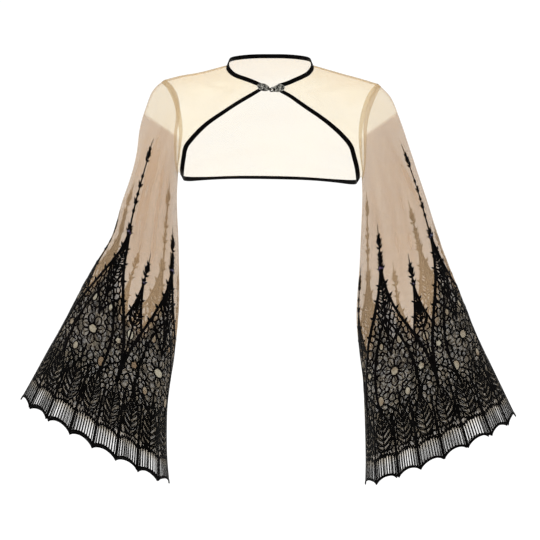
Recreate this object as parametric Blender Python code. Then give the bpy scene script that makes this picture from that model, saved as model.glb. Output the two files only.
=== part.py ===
"""Cropped bolero jacket of sheer tulle, in the shape that it has when worn.

Two small fronts meet at a clasp under the throat and run away in a diagonal to the underarm. The back is
one panel down to the same height. The set-in sleeves are long bells with a corded scalloped hem.
A black binding goes round the neck and another along the front edges and the back hem.

Frame: metres, +Z up, the front faces -Y, the wearer's left is +X. The origin is the middle of the neck
opening, level with the sides of the neck.
"""
import math

import bmesh
import bpy
import numpy as np

MM = 0.001

# Driving sizes, in millimetres
tulle_thickness = 1.2
binding_width = 6.6
binding_thickness = 2.4
cord_width = 4.6
cord_thickness = 2.6
seam_gap = 0.3
scallop_depth = 10.0
clasp_thickness = 1.6
clasp_centre = (0.0, -70.0, -44.0)
clasp_tilt = {"hook": 17.0, "eye": -12.0}

# Net sizes, in cells
armhole_cells = 24
neck_cells_front = 6
shoulder_cells = 8
back_neck_cells = 8
scallops = 16
cells_per_scallop = 3
sleeve_rows = 15

# Seam lines of each side: x away from the middle, y, z. Sleeve outlines: x away from the middle, z
SIDES = {
    "right": {
        "sign": -1,
        "neck": [(73.1, 0, 1.2), (75.2, -11, -4.3), (67.1, -29, -16.9), (53.8, -44, -24.1),
                 (39.9, -54, -29.2), (21.5, -61.5, -36.9), (15.5, -64.5, -39.6)],
        "shoulder": [(73.1, 0, 1.2), (124.7, 2, -12), (153.9, 4, -16.9), (181.5, 6, -24.1)],
        "edge": [(15.5, -64.5, -39.6), (35, -67.2, -51), (52.1, -70, -61), (81.7, -77, -80.5),
                 (112, -78, -101.5), (135.7, -69, -124.5), (146.5, -58, -138.1), (151.4, -43, -162.9),
                 (154.6, -21, -187.4), (153.8, 5, -199)],
        "armhole_front": [(181.5, 6, -24.1), (167.7, -17, -37.2), (158.6, -37, -55.6),
                          (155.8, -58, -92.9), (158.4, -60, -109), (160.3, -51, -144.5),
                          (160.6, -37, -167), (159.6, -17, -188), (158.5, 5, -196)],
        "armhole_back": [(181.5, 6, -24.1), (172, 24, -34), (163, 44, -52), (156, 60, -80),
                         (153, 68, -110), (155, 64, -140), (158, 50, -168), (159.5, 28, -188),
                         (158.5, 5, -196)],
        "sleeve_outer": [(181.5, -24.1), (198.7, -37.8), (213, -68), (224, -105), (229.2, -148),
                         (237.2, -184), (256, -240), (270.5, -288), (302.4, -344), (334.4, -402.5),
                         (386.8, -500.5), (429.1, -574.5)],
        "sleeve_inner": [(158.5, -196), (161, -225), (157.4, -323.4), (157.2, -400), (166, -504),
                         (177.6, -593.4), (178, -650), (173.5, -719)],
        "hem_sag": (5, 17),
    },
    "left": {
        "sign": 1,
        "neck": [(73.1, 0, 1.2), (75.3, -11, -4.3), (67.9, -29, -16.9), (55, -44, -24.6),
                 (41.3, -54, -31), (26, -60.8, -37.4), (14.5, -65, -40.6)],
        "shoulder": [(73.1, 0, 1.2), (128.1, 2, -14.6), (157.4, 4, -22.4), (185.8, 6, -31)],
        "edge": [(14.5, -65, -40.6), (31.6, -67.2, -49.4), (60, -71.5, -69), (98.7, -78, -96),
                 (128.7, -72, -122.3), (141.4, -61, -138.1), (147.4, -48, -156.5), (151.9, -34, -174.4),
                 (154.4, -14, -194.8), (153.8, 5, -203)],
        "armhole_front": [(185.8, 6, -31), (180, -14, -42), (171.1, -37, -61.9), (163.6, -54, -86),
                          (160.4, -61, -110.1), (160.8, -56, -130.7), (161.3, -42, -161.7),
                          (160, -18, -191), (158.5, 5, -200)],
        "armhole_back": [(185.8, 6, -31), (176, 24, -40), (166, 44, -58), (158, 60, -86),
                         (155, 68, -115), (156, 64, -145), (158.5, 50, -172), (160, 28, -192),
                         (158.5, 5, -200)],
        "sleeve_outer": [(185.8, -31), (206.4, -51.6), (222.7, -88), (241.7, -145.3), (265.7, -219.5),
                         (295, -307.9), (320.8, -377), (369, -493), (423.3, -603.7)],
        "sleeve_inner": [(158.5, -200), (159.6, -225), (155.7, -323.4), (150.5, -440),
                         (160.8, -548.7), (164.3, -620), (164.3, -720.7)],
        "hem_sag": (12, 20),
    },
}

# Lines of the back between the two sides: x, y, z
BACK_NECK = [(-73.1, 0, 1.2), (-70, 22, 8), (-54, 44, 13), (-28, 57, 16), (0, 60, 16.5),
             (28, 57, 16), (54, 44, 13), (70, 22, 8), (73.1, 0, 1.2)]
BACK_HEM = [(-153.8, 5, -199), (-146, 48, -204), (-112, 84, -202), (-60, 101, -196), (0, 106, -194),
            (60, 101, -198), (112, 84, -204), (146, 48, -207), (153.8, 5, -203)]

# Sleeve along its length: share of the outer line, share of the inner line, half depth
SLEEVE_STATIONS = [
    (0, 0, 63), (0.1, 0.04, 60), (0.25, 0.12, 53), (0.5, 0.34, 55), (0.75, 0.65, 67), (1, 1, 80),
]
armhole_shape_ends = 0.34
sleeve_centre_y = 3.0
SIDE_SEAM_PLACES = (0, 0.26, 0.34, 0.42, 0.5, 0.58, 0.66, 0.74, 1)
back_roundness = 24.0
edge_crowding = 0.3

# Folds of the bell: degrees round from the outer line by the front, half width, depth at the hem, start
FOLDS = [
    (28, 10, -6, 0.5), (52, 12, 8, 0.45), (80, 11, -8, 0.4), (104, 11, 8, 0.4), (127, 9, -9, 0.3),
    (146, 7, 7, 0.22), (163, 6, -6, 0.2), (197, 7, 7, 0.2), (216, 9, -9, 0.3), (241, 12, 10, 0.4),
    (269, 12, -11, 0.4), (297, 12, 10, 0.45), (326, 11, -8, 0.5),
]

# Hook half of the clasp: x, y, half height, along the middle of the plate and its tongue
HOOK_PATH = [
    (-22.6, 0, 1.6), (-20.8, 0, 3.7), (-18, 0, 5.2), (-14.6, 0, 5.8), (-11, 0, 5.3), (-8.2, 0, 4.3),
    (-6.2, 0, 3.2), (-4.8, -0.5, 2), (-3.4, -1.6, 1.4), (-1.8, -2.3, 1.2), (0, -2.4, 1.1), (1.4, -2.1, 1.1),
    (2.3, -1.2, 1), (2.6, 0, 1), (2.6, 1.3, 0.8),
]
# Eye half of the clasp: x, half height, of its outline
EYE_OUTLINE = [
    (-1.1, 0), (-0.8, 1.5), (0.5, 2.9), (2.6, 3.7), (5, 3.8), (7.4, 4.4), (10, 5.3), (13.6, 5.9), (17.2, 5.7),
    (20.6, 4.7), (23.4, 3), (25, 1.2), (25.2, 0),
]
eye_hole_centre = 2.7
eye_hole_radius = 2.3


def clear_scene():
    for item in list(bpy.data.objects):
        bpy.data.objects.remove(item, do_unlink=True)


def make_material(name, colour, roughness, metallic=0.0, alpha=1.0):
    material = bpy.data.materials.new(name)
    material.use_nodes = True
    shader = material.node_tree.nodes["Principled BSDF"]
    shader.inputs["Base Color"].default_value = (*colour, 1.0)
    shader.inputs["Roughness"].default_value = roughness
    shader.inputs["Metallic"].default_value = metallic
    shader.inputs["Alpha"].default_value = alpha
    return material


def unit(vectors):
    length = np.linalg.norm(vectors, axis=-1, keepdims=True)
    return vectors / np.maximum(length, 1e-9)


def even_points(line, cells, crowding=0.0):
    """The line cut into cells of equal length, or crowded towards its end."""
    step = np.linalg.norm(np.diff(line, axis=0), axis=1)
    along = np.concatenate([[0.0], np.cumsum(step)])
    place = np.linspace(0.0, 1.0, cells + 1)
    place = (1 - crowding) * place + crowding * (1 - (1 - place) ** 3)
    wanted = along[-1] * place
    return np.column_stack([np.interp(wanted, along, line[:, k]) for k in range(line.shape[1])])


def smooth_values(at, values, wanted):
    """Values on a smooth curve through the given ones."""
    at = np.asarray(at, float)
    values = np.asarray(values, float)
    slope = np.gradient(values, at, axis=0)
    k = np.clip(np.searchsorted(at, wanted, side="right") - 1, 0, len(at) - 2)
    width = at[k + 1] - at[k]
    t = (wanted - at[k]) / width
    if values.ndim > 1:
        t = t[:, None]
        width = width[:, None]
    rise = (1 + 2 * t) * (1 - t) ** 2 * values[k] + t * t * (3 - 2 * t) * values[k + 1]
    return rise + width * (t * (1 - t) ** 2 * slope[k] - t * t * (1 - t) * slope[k + 1])


def smooth_line(points, cells, crowding=0.0, dense=400):
    """Evenly spaced points on a smooth curve through the given ones."""
    points = np.array(points, float)
    step = np.linalg.norm(np.diff(points, axis=0), axis=1)
    at = np.concatenate([[0.0], np.cumsum(step)])
    line = smooth_values(at, points, np.linspace(0.0, at[-1], dense + 1))
    return even_points(line, cells, crowding)


def side_line(side, name, cells, crowding=0.0):
    """A seam line of one side, on its own side of the middle."""
    line = smooth_line(SIDES[side][name], cells, crowding)
    line[:, 0] *= SIDES[side]["sign"]
    return line


def patch(top, bottom, first, last, places=None):
    """Net between four lines: its rows run from top to bottom, its columns from first to last."""
    s = np.linspace(0, 1, len(first))[:, None, None]
    top_place = np.linspace(0, 1, len(top))[:, None]
    bottom_place = top_place if places is None else np.array(places)[:, None]
    t = (1 - s) * top_place[None] + s * bottom_place[None]
    top_bow = top - (1 - top_place) * top[0] - top_place * top[-1]
    bottom_bow = bottom - (1 - bottom_place) * bottom[0] - bottom_place * bottom[-1]
    return (1 - t) * first[:, None] + t * last[:, None] + (1 - s) * top_bow + s * bottom_bow


def net_normals(net, closed, centre):
    """Unit normals of the net, on the side away from the centre."""
    if closed:
        across = np.roll(net, -1, axis=1) - np.roll(net, 1, axis=1)
    else:
        across = np.gradient(net, axis=1)
    normals = unit(np.cross(across, np.gradient(net, axis=0)))
    if np.sum(normals * (net - np.asarray(centre, float))) < 0:
        normals = -normals
    return normals


def mitre(first, second):
    """Directions of the wall where two sheets meet, longer where they meet at a sharper angle."""
    total = first + second
    size = np.linalg.norm(total, axis=-1, keepdims=True)
    return total / np.maximum(size, 1e-9) * np.minimum(2 / np.maximum(size, 1e-9), 1.9)


def set_back(net, gap, columns=True):
    """The net with its outer rows, and its outer columns, moved inwards by the gap."""
    moved = net.copy()
    moved[0] += gap * unit(net[1] - net[0])
    moved[-1] += gap * unit(net[-2] - net[-1])
    if columns:
        moved[:, 0] += gap * unit(net[:, 1] - net[:, 0])
        moved[:, -1] += gap * unit(net[:, -2] - net[:, -1])
    return moved


def solid_sheet(name, net, normals, thickness, material, closed=False):
    """Closed body around a net of points, as thick as given for each row."""
    rows, columns = net.shape[:2]
    half = 0.5 * np.broadcast_to(np.asarray(thickness, float), (rows,))[:, None, None]
    points = np.concatenate([(net + normals * half).reshape(-1, 3), (net - normals * half).reshape(-1, 3)])
    count = rows * columns
    faces = []
    cells = columns if closed else columns - 1
    for i in range(rows - 1):
        for j in range(cells):
            a = i * columns + j
            b = i * columns + (j + 1) % columns
            c = b + columns
            d = a + columns
            faces.append((a, b, c, d))
            faces.append((count + d, count + c, count + b, count + a))
    for i in (0, rows - 1):
        for j in range(cells):
            a = i * columns + j
            b = i * columns + (j + 1) % columns
            faces.append((a, b, count + b, count + a))
    if not closed:
        for i in range(rows - 1):
            for j in (0, columns - 1):
                a = i * columns + j
                faces.append((a, a + columns, count + a + columns, count + a))
    mesh = bpy.data.meshes.new(name)
    mesh.from_pydata([tuple(point) for point in points * MM], [], faces)
    mesh.validate()
    work = bmesh.new()
    work.from_mesh(mesh)
    bmesh.ops.recalc_face_normals(work, faces=work.faces)
    work.to_mesh(mesh)
    work.free()
    mesh.materials.append(material)
    body = bpy.data.objects.new(name, mesh)
    bpy.context.scene.collection.objects.link(body)
    return body


def strip_net(seam, away, width):
    """Net of a strip sewn on along a seam line: three rows, away from the seam."""
    return np.stack([seam + away * (seam_gap + share * width) for share in (0.0, 0.5, 1.0)])


def armhole_loop(side):
    """The armhole: down the front from the shoulder tip to the underarm, and up the back."""
    front = side_line(side, "armhole_front", armhole_cells)
    back = side_line(side, "armhole_back", armhole_cells)
    return np.concatenate([front, back[::-1][1:-1]])


def sleeve_ring(side, share, loop):
    """One ring of the sleeve, as a front half and a back half of evenly spaced points."""
    table = SIDES[side]
    stations = np.array(SLEEVE_STATIONS, float)
    inner_share, half_depth = smooth_values(stations[:, 0], stations[:, 1:], np.array([share]))[0]
    outer_line = smooth_line(table["sleeve_outer"], 200)
    inner_line = smooth_line(table["sleeve_inner"], 200)
    places = np.linspace(0, 1, 201)
    outer = np.array([np.interp(share, places, outer_line[:, k]) for k in (0, 1)])
    inner = np.array([np.interp(inner_share, places, inner_line[:, k]) for k in (0, 1)])
    chord = outer - inner
    middle = 0.5 * (outer + inner)
    down = unit(np.array([chord[1], -chord[0]]))
    own = np.array([table["sign"], 1.0])
    start = 0.5 * (outer_line[0] + inner_line[0])
    start_chord = outer_line[0] - inner_line[0]
    start_down = unit(np.array([start_chord[1], -start_chord[0]]))
    flat = loop[:, [0, 2]] * own - start
    held = np.column_stack([
        flat @ start_chord / (start_chord @ start_chord), flat @ start_down, loop[:, 1],
    ])
    turn = min(share / armhole_shape_ends, 1.0)
    bell = turn * turn * (3 - 2 * turn)
    halves = []
    for first, sag in ((0.0, table["hem_sag"][0]), (math.pi, table["hem_sag"][1])):
        angle = first + np.linspace(0, math.pi, 97)
        fold = np.zeros_like(angle)
        for degrees, spread, depth, begins in FOLDS:
            grown = np.clip((share - begins) / (1 - begins), 0, 1)
            fold += depth * grown ** 1.3 * np.exp(-(((np.degrees(angle) - degrees) / spread) ** 2))
        height = np.abs(np.sin(angle)) ** 0.92
        front = -1.0 if first == 0 else 1.0
        shape = np.column_stack([
            0.5 * np.cos(angle),
            sag * share ** 2 * height,
            sleeve_centre_y + front * (half_depth * height + fold * np.abs(np.sin(angle))),
        ])
        turned = held if first == 0 else np.roll(held, -armhole_cells, axis=0)
        half = turned[:armhole_cells + 1]
        loop_shape = even_points(half, 96)
        mixed = (1 - bell) * loop_shape + bell * shape
        flat_points = middle + mixed[:, :1] * chord + mixed[:, 1:2] * down
        ring = np.column_stack([flat_points[:, 0] * table["sign"], mixed[:, 2], flat_points[:, 1]])
        halves.append(even_points(ring, scallops * cells_per_scallop // 2))
    return np.concatenate([halves[0][:-1], halves[1][:-1]])


def sleeve_net(side, loop):
    """Full length of the sleeve as evenly cut columns, from the armhole to the tips of the scallops."""
    shares = np.linspace(0, 1, 41)
    rings = np.stack([loop] + [sleeve_ring(side, share, loop) for share in shares[1:]])
    return shares, rings


def column_point(rings, column, distance_up):
    """Point of a column of the sleeve at a distance above the hem line."""
    line = rings[::-1, column]
    step = np.linalg.norm(np.diff(line, axis=0), axis=1)
    along = np.concatenate([[0.0], np.cumsum(step)])
    return np.array([np.interp(distance_up, along, line[:, k]) for k in range(3)]), along[-1]


def build_sleeve(side, loop, seam_normals, materials):
    shares, rings = sleeve_net(side, loop)
    columns = rings.shape[1]
    height = scallop_depth * np.array([0.0, 0.92, 0.92])
    lean = np.array([1.15, 1.04, 1.04])
    net = np.zeros((sleeve_rows + 1, columns, 3))
    cord = np.zeros((3, columns, 3))
    for j in range(columns):
        k = j % cells_per_scallop
        full = column_point(rings, j, 0.0)[1]
        end = height[k] + lean[k] * (cord_width + seam_gap)
        for i in range(sleeve_rows + 1):
            s = i / sleeve_rows
            run = s ** 1.12
            distance = full * (1 - run) + end * run ** 7
            net[i, j] = column_point(rings, j, distance)[0]
        for i, share in enumerate((1.0, 0.5, 0.0)):
            cord[i, j] = column_point(rings, j, height[k] + lean[k] * cord_width * share)[0]
    net[0] = loop
    centre = net.mean(axis=1, keepdims=True)
    net[0] += 0.5 * seam_gap * unit(net[1] - net[0])
    normals = net_normals(net, True, centre)
    normals[0] = seam_normals
    solid_sheet(f"sleeve_{side}", net, normals, tulle_thickness, materials["tulle"], closed=True)
    cord_normals = net_normals(cord, True, cord.mean(axis=1, keepdims=True))
    solid_sheet(
        f"scallop_cord_{side}", cord, cord_normals, (1.4, cord_thickness, 1.0), materials["cord"], closed=True
    )


def front_net(side):
    """Net of a front: its rows run from the neck and the front edge to the armhole."""
    first = np.concatenate([
        side_line(side, "neck", neck_cells_front),
        side_line(side, "edge", armhole_cells - neck_cells_front, edge_crowding)[1:],
    ])
    underarm = side_line(side, "armhole_front", 1)[-1]
    places = np.array(SIDE_SEAM_PLACES)
    side_seam = first[-1] + places[:, None] * (underarm - first[-1])
    return patch(
        side_line(side, "shoulder", shoulder_cells), side_seam, first,
        side_line(side, "armhole_front", armhole_cells), places,
    )


def back_net():
    """Net of the back: its rows run across, from the shoulders and the neck down to the hem."""
    hem_cells = 2 * shoulder_cells + back_neck_cells - 2
    right = side_line("right", "shoulder", shoulder_cells)
    left = side_line("left", "shoulder", shoulder_cells)
    top = np.concatenate([right[::-1], smooth_line(BACK_NECK, back_neck_cells)[1:-1], left])
    bottom = np.concatenate([
        side_line("right", "armhole_back", 1)[-1:], smooth_line(BACK_HEM, hem_cells),
        side_line("left", "armhole_back", 1)[-1:],
    ])
    net = patch(
        top, bottom, side_line("right", "armhole_back", armhole_cells),
        side_line("left", "armhole_back", armhole_cells),
    )
    taut = net.copy()
    for _ in range(900):
        taut[1:-1, 1:-1] = 0.25 * (taut[:-2, 1:-1] + taut[2:, 1:-1] + taut[1:-1, :-2] + taut[1:-1, 2:])
    down = np.linspace(0, 1, net.shape[0])[:, None]
    across = np.linspace(0, 1, net.shape[1])[None, :]
    rounded = taut[..., 1] + back_roundness * np.sin(math.pi * down) * np.sin(math.pi * across)
    follows_neck = 0.8 * (1 - down) ** 2.5
    net[..., 1] = follows_neck * net[..., 1] + (1 - follows_neck) * rounded
    return net


def away_from(edge, inner, normals, lift, end):
    """Directions away from a panel's edge, square to it and along the panel; both ends lean as given."""
    along = unit(np.gradient(edge, axis=0))
    out = unit(edge - inner)
    out = out - along * np.sum(out * along, axis=1, keepdims=True)
    out = unit(unit(out) + np.array([0, 0, lift]))
    lean = np.array(end, float) - normals * (normals @ np.array(end, float))[:, None]
    for k, share in ((0, 1.0), (1, 0.5), (-2, 0.5), (-1, 1.0)):
        out[k] = unit((1 - share) * out[k] + share * unit(lean[k]))
    for _ in range(3):
        out[1:-1] = unit(out[:-2] + 2 * out[1:-1] + out[2:])
    return out


def build_bindings(fronts, back, normals, back_normals, materials):
    """The binding of the neck, and the one of the front edges and the back hem."""
    right, left = fronts["right"], fronts["left"]
    right_normals, left_normals = normals["right"], normals["left"]
    neck = slice(shoulder_cells, -shoulder_cells)
    tip = neck_cells_front
    rows = {
        "neck_binding": [
            (right[tip::-1, 0], right[tip::-1, 1], right_normals[tip::-1, 0]),
            (back[0, neck], back[1, neck], back_normals[0, neck]),
            (left[:tip + 1, 0], left[:tip + 1, 1], left_normals[:tip + 1, 0]),
        ],
        "edge_binding": [
            (right[tip:, 0], right[tip:, 1], right_normals[tip:, 0]),
            (back[-1, 1:-1], back[-2, 1:-1], back_normals[-1, 1:-1]),
            (left[:tip - 1:-1, 0], left[:tip - 1:-1, 1], left_normals[:tip - 1:-1, 0]),
        ],
    }
    for name, parts in rows.items():
        edge, inner, panel = (
            np.concatenate([parts[0][k][:-1], parts[1][k], parts[2][k][1:]]) for k in range(3)
        )
        up = 1 if name == "neck_binding" else -1
        away = away_from(edge, inner, panel, 0.25 if up > 0 else 0.0, (0, 0, up))
        net = strip_net(edge, away, binding_width)
        own = net_normals(net, False, (0, 0, -100))
        shared = mitre(own[0], panel)
        own[0] = shared
        start = 0
        for part in parts:
            count = len(part[2])
            part[2][:] = shared[start:start + count]
            start += count - 1
        solid_sheet(name, net, own, (1.2, binding_thickness, 1.2), materials["binding"])


def tilted(points, name):
    """A half of the clasp, turned about the middle of the eye's hole."""
    angle = math.radians(clasp_tilt[name])
    turned = points - (eye_hole_centre, 0.0, 0.0)
    x = turned[..., 0] * math.cos(angle) + turned[..., 2] * math.sin(angle)
    z = turned[..., 2] * math.cos(angle) - turned[..., 0] * math.sin(angle)
    return np.stack([x + eye_hole_centre, turned[..., 1], z], axis=-1) + clasp_centre


def build_clasp(materials):
    """Hook half and eye half, hooked together."""
    path = np.array(HOOK_PATH, float)
    net = np.array([
        [(x, y, half * share) for share in (-1.0, -0.55, 0.0, 0.55, 1.0)] for x, y, half in path
    ])
    net = tilted(net, "hook")
    normals = net_normals(net, False, (0, 500, 0))
    solid_sheet("clasp_hook", net, normals, clasp_thickness * 0.85, materials["silver"])
    half = EYE_OUTLINE
    loop = [(x, z) for x, z in half] + [(x, -z) for x, z in half[-2:0:-1]]
    outline = np.array([(x, 0.0, z) for x, z in loop])
    hole_centre = np.array([eye_hole_centre, 0.0, 0.0])
    hole = hole_centre + eye_hole_radius * unit(outline - hole_centre)
    net = np.stack([hole, 0.5 * (hole + outline), outline])
    normals = np.zeros_like(net)
    normals[..., 1] = -1.0
    solid_sheet("clasp_eye", tilted(net, "eye"), normals, clasp_thickness, materials["silver"], closed=True)


def build():
    clear_scene()
    materials = {
        "tulle": make_material("nude_tulle", (0.62, 0.45, 0.31), 0.9, alpha=0.6),
        "binding": make_material("black_binding", (0.012, 0.012, 0.014), 0.6),
        "cord": make_material("black_cord", (0.012, 0.012, 0.014), 0.5),
        "silver": make_material("antique_silver", (0.35, 0.34, 0.32), 0.35, metallic=1.0),
    }
    body_centre = (0, 0, -100)
    half_gap = 0.5 * seam_gap
    fronts = {side: front_net(side) for side in SIDES}
    back = back_net()
    normals = {side: net_normals(net, False, body_centre) for side, net in fronts.items()}
    back_normals = net_normals(back, False, body_centre)
    for side in SIDES:
        own_half = slice(shoulder_cells, None, -1) if side == "right" else slice(-shoulder_cells - 1, None)
        shoulder = mitre(normals[side][0], back_normals[0, own_half])
        normals[side][0] = shoulder
        back_normals[0, own_half] = shoulder
        loop = armhole_loop(side)
        rings = sleeve_net(side, loop)[1]
        own = net_normals(rings[:3], True, rings[:3].mean(axis=1, keepdims=True))[0]
        column = 0 if side == "right" else -1
        panel = np.concatenate([normals[side][:, -1], back_normals[::-1, column][1:-1]])
        panel[0] = unit(normals[side][0, -1] + back_normals[0, column])
        panel[armhole_cells] = unit(normals[side][-1, -1] + back_normals[-1, column])
        shared = mitre(own, panel)
        normals[side][:, -1] = shared[:armhole_cells + 1]
        back_side = np.concatenate([shared[armhole_cells:], shared[:1]])[::-1]
        back_normals[:, column] = back_side
        build_sleeve(side, loop, shared, materials)
    build_bindings(fronts, back, normals, back_normals, materials)
    for side in SIDES:
        solid_sheet(f"front_{side}", set_back(fronts[side], half_gap), normals[side], tulle_thickness,
                    materials["tulle"])
    solid_sheet("back", set_back(back, half_gap), back_normals, tulle_thickness, materials["tulle"])
    build_clasp(materials)


build()
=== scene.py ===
"""Cropped bolero jacket of nude tulle: sheer yoke, black bindings, a clasp and embroidered bell sleeves."""

import math

import bpy
import numpy as np
from bpy.props import FloatProperty, FloatVectorProperty, PointerProperty
from mathutils import Matrix, Vector
from mathutils.geometry import delaunay_2d_cdt


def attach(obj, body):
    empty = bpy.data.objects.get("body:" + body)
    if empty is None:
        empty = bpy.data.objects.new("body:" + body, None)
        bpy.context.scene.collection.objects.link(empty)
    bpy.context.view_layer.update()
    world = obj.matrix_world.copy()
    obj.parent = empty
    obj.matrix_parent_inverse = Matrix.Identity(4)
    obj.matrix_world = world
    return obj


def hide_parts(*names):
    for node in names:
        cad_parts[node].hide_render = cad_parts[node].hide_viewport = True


bl_info = {
    "name": "Bolero jacket",
    "version": (1, 0, 0),
    "blender": (4, 5, 0),
    "location": "View3D > Sidebar > Bolero",
    "description": "Dresses the packed bolero jacket in tulle, bindings, embroidery and its clasp",
    "category": "Object",
}

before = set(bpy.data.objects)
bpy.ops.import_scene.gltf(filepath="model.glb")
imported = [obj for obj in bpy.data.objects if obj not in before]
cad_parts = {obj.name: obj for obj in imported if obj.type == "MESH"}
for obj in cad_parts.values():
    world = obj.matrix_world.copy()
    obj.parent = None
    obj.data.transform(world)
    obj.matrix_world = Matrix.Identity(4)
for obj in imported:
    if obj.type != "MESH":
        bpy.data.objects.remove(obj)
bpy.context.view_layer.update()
bpy.ops.object.select_all(action="DESELECT")

MM = 0.001

# Sizes of the pattern, in millimetres, as the solids have them
seam_gap = 0.3
armhole_cells = 24
neck_cells_front = 6
shoulder_cells = 8
back_neck_cells = 8
scallops = 16
peak_spacing = 4
mean_scallop = 36.0
clasp_centre = np.array([0.0, -70.0, -44.0])
clasp_tilt = {"clasp_hook": 17.0, "clasp_eye": -12.0}
clasp_ends = {"clasp_hook": (2.0, 22.4), "clasp_eye": (5.2, 25.0)}
eye_hole_centre = 2.7
armhole_shape_ends = 0.34
sleeve_centre_y = 3.0
SIDE_SEAM_PLACES = (0, 0.26, 0.34, 0.42, 0.5, 0.58, 0.66, 0.74, 1)
back_roundness = 24.0
edge_crowding = 0.3
body_centre = (0, 0, -100)

# Seam lines of each side: x away from the middle, y, z. Sleeve outlines: x away from the middle, z
SIDES = {
    "right": {
        "sign": -1,
        "neck": [(73.1, 0, 1.2), (75.2, -11, -4.3), (67.1, -29, -16.9), (53.8, -44, -24.1),
                 (39.9, -54, -29.2), (21.5, -61.5, -36.9), (15.5, -64.5, -39.6)],
        "shoulder": [(73.1, 0, 1.2), (124.7, 2, -12), (153.9, 4, -16.9), (181.5, 6, -24.1)],
        "edge": [(15.5, -64.5, -39.6), (35, -67.2, -51), (52.1, -70, -61), (81.7, -77, -80.5),
                 (112, -78, -101.5), (135.7, -69, -124.5), (146.5, -58, -138.1), (151.4, -43, -159),
                 (154.2, -21, -178), (153.8, 5, -185)],
        "armhole_front": [(181.5, 6, -24.1), (167.7, -17, -37.2), (158.6, -37, -55.6),
                          (155.8, -58, -92.9), (158.4, -60, -109), (160.3, -51, -140),
                          (160.6, -37, -159), (159.6, -17, -176), (158.5, 5, -182)],
        "armhole_back": [(181.5, 6, -24.1), (172, 24, -34), (163, 44, -52), (156, 60, -80),
                         (153, 68, -110), (155, 64, -136), (158, 50, -160), (159.5, 28, -176),
                         (158.5, 5, -182)],
        "sleeve_outer": [(181.5, -24.1), (198.7, -37.8), (213, -68), (224, -105), (229.2, -148),
                         (237.2, -184), (256, -240), (270.5, -288), (302.4, -344), (334.4, -402.5),
                         (386.8, -500.5), (429.1, -574.5)],
        "sleeve_inner": [(158.5, -182), (161, -225), (157.4, -323.4), (157.2, -400), (166, -504),
                         (177.6, -593.4), (178, -650), (173.5, -719)],
        "hem_sag": (5, 17),
        "first_peak": 2.5,
        "creases": [(2.9, 3.0, 540, 330, 1.0), (3.6, 3.6, 540, 300, 0.7), (4.5, 4.6, 530, 310, 0.9),
                    (5.4, 5.5, 540, 380, 0.6), (1.7, 1.2, 520, 340, 0.5)],
    },
    "left": {
        "sign": 1,
        "neck": [(73.1, 0, 1.2), (75.3, -11, -4.3), (67.9, -29, -16.9), (55, -44, -24.6),
                 (41.3, -54, -31), (26, -60.8, -37.4), (14.5, -65, -40.6)],
        "shoulder": [(73.1, 0, 1.2), (128.1, 2, -14.6), (157.4, 4, -22.4), (185.8, 6, -31)],
        "edge": [(14.5, -65, -40.6), (31.6, -67.2, -49.4), (60, -71.5, -69), (98.7, -78, -96),
                 (128.7, -72, -122.3), (141.4, -61, -138.1), (147.4, -48, -156.5), (151.9, -34, -172),
                 (154.4, -14, -187), (153.8, 5, -193)],
        "armhole_front": [(185.8, 6, -31), (180, -14, -42), (171.1, -37, -61.9), (163.6, -54, -86),
                          (160.4, -61, -110.1), (160.8, -56, -130.7), (161.3, -42, -158),
                          (160, -18, -183), (158.5, 5, -190)],
        "armhole_back": [(185.8, 6, -31), (176, 24, -40), (166, 44, -58), (158, 60, -86),
                         (155, 68, -115), (156, 64, -143), (158.5, 50, -167), (160, 28, -184),
                         (158.5, 5, -190)],
        "sleeve_outer": [(185.8, -31), (206.4, -51.6), (222.7, -88), (241.7, -145.3), (265.7, -219.5),
                         (295, -307.9), (320.8, -377), (369, -493), (423.3, -603.7)],
        "sleeve_inner": [(158.5, -190), (159.6, -225), (155.7, -323.4), (150.5, -440),
                         (160.8, -548.7), (164.3, -620), (164.3, -720.7)],
        "hem_sag": (12, 20),
        "first_peak": 1.5,
        "creases": [(2.6, 1.6, 520, 400, 1.0), (5.6, 5.2, 480, 380, 0.8), (4.2, 4.1, 530, 330, 0.6),
                    (3.3, 3.1, 500, 320, 0.7)],
    },
}

# Lines of the back between the two sides: x, y, z
BACK_NECK = [(-73.1, 0, 1.2), (-70, 22, 8), (-54, 44, 13), (-28, 57, 16), (0, 60, 16.5),
             (28, 57, 16), (54, 44, 13), (70, 22, 8), (73.1, 0, 1.2)]
BACK_HEM = [(-153.8, 5, -185), (-146, 48, -189), (-112, 84, -189), (-60, 101, -187), (0, 106, -187),
            (60, 101, -189), (112, 84, -193), (146, 48, -195), (153.8, 5, -193)]

# Sleeve along its length: share of the outer line, share of the inner line, half depth
SLEEVE_STATIONS = [
    (0, 0, 63), (0.1, 0.04, 60), (0.25, 0.12, 53), (0.5, 0.34, 55), (0.75, 0.65, 67), (1, 1, 80),
]

# Folds of the bell: degrees round from the outer line by the front, half width, depth at the hem, start
FOLDS = [
    (28, 10, -6, 0.5), (52, 12, 8, 0.45), (80, 11, -8, 0.4), (104, 11, 8, 0.4), (127, 9, -9, 0.3),
    (146, 7, 7, 0.22), (163, 6, -6, 0.2), (197, 7, 7, 0.2), (216, 9, -9, 0.3), (241, 12, 10, 0.4),
    (269, 12, -11, 0.4), (297, 12, 10, 0.45), (326, 11, -8, 0.5),
]

# Half widths of the embroidered forms, in scallops, at heights above the hem in millimetres
TALL_PEAK = [(0, 2.0), (128, 2.0), (160, 1.93), (190, 1.77), (215, 1.52), (240, 1.2), (265, 0.86),
             (290, 0.54), (315, 0.28), (340, 0.1), (358, 0.0)]
INNER_ARCH = [(0, 1.0), (112, 1.0), (150, 1.13), (180, 1.1), (205, 0.95), (230, 0.68), (252, 0.36),
              (272, 0.0)]
SHORT_PEAK = [(222, 0.56), (238, 0.42), (256, 0.25), (278, 0.1), (300, 0.0)]

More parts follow.
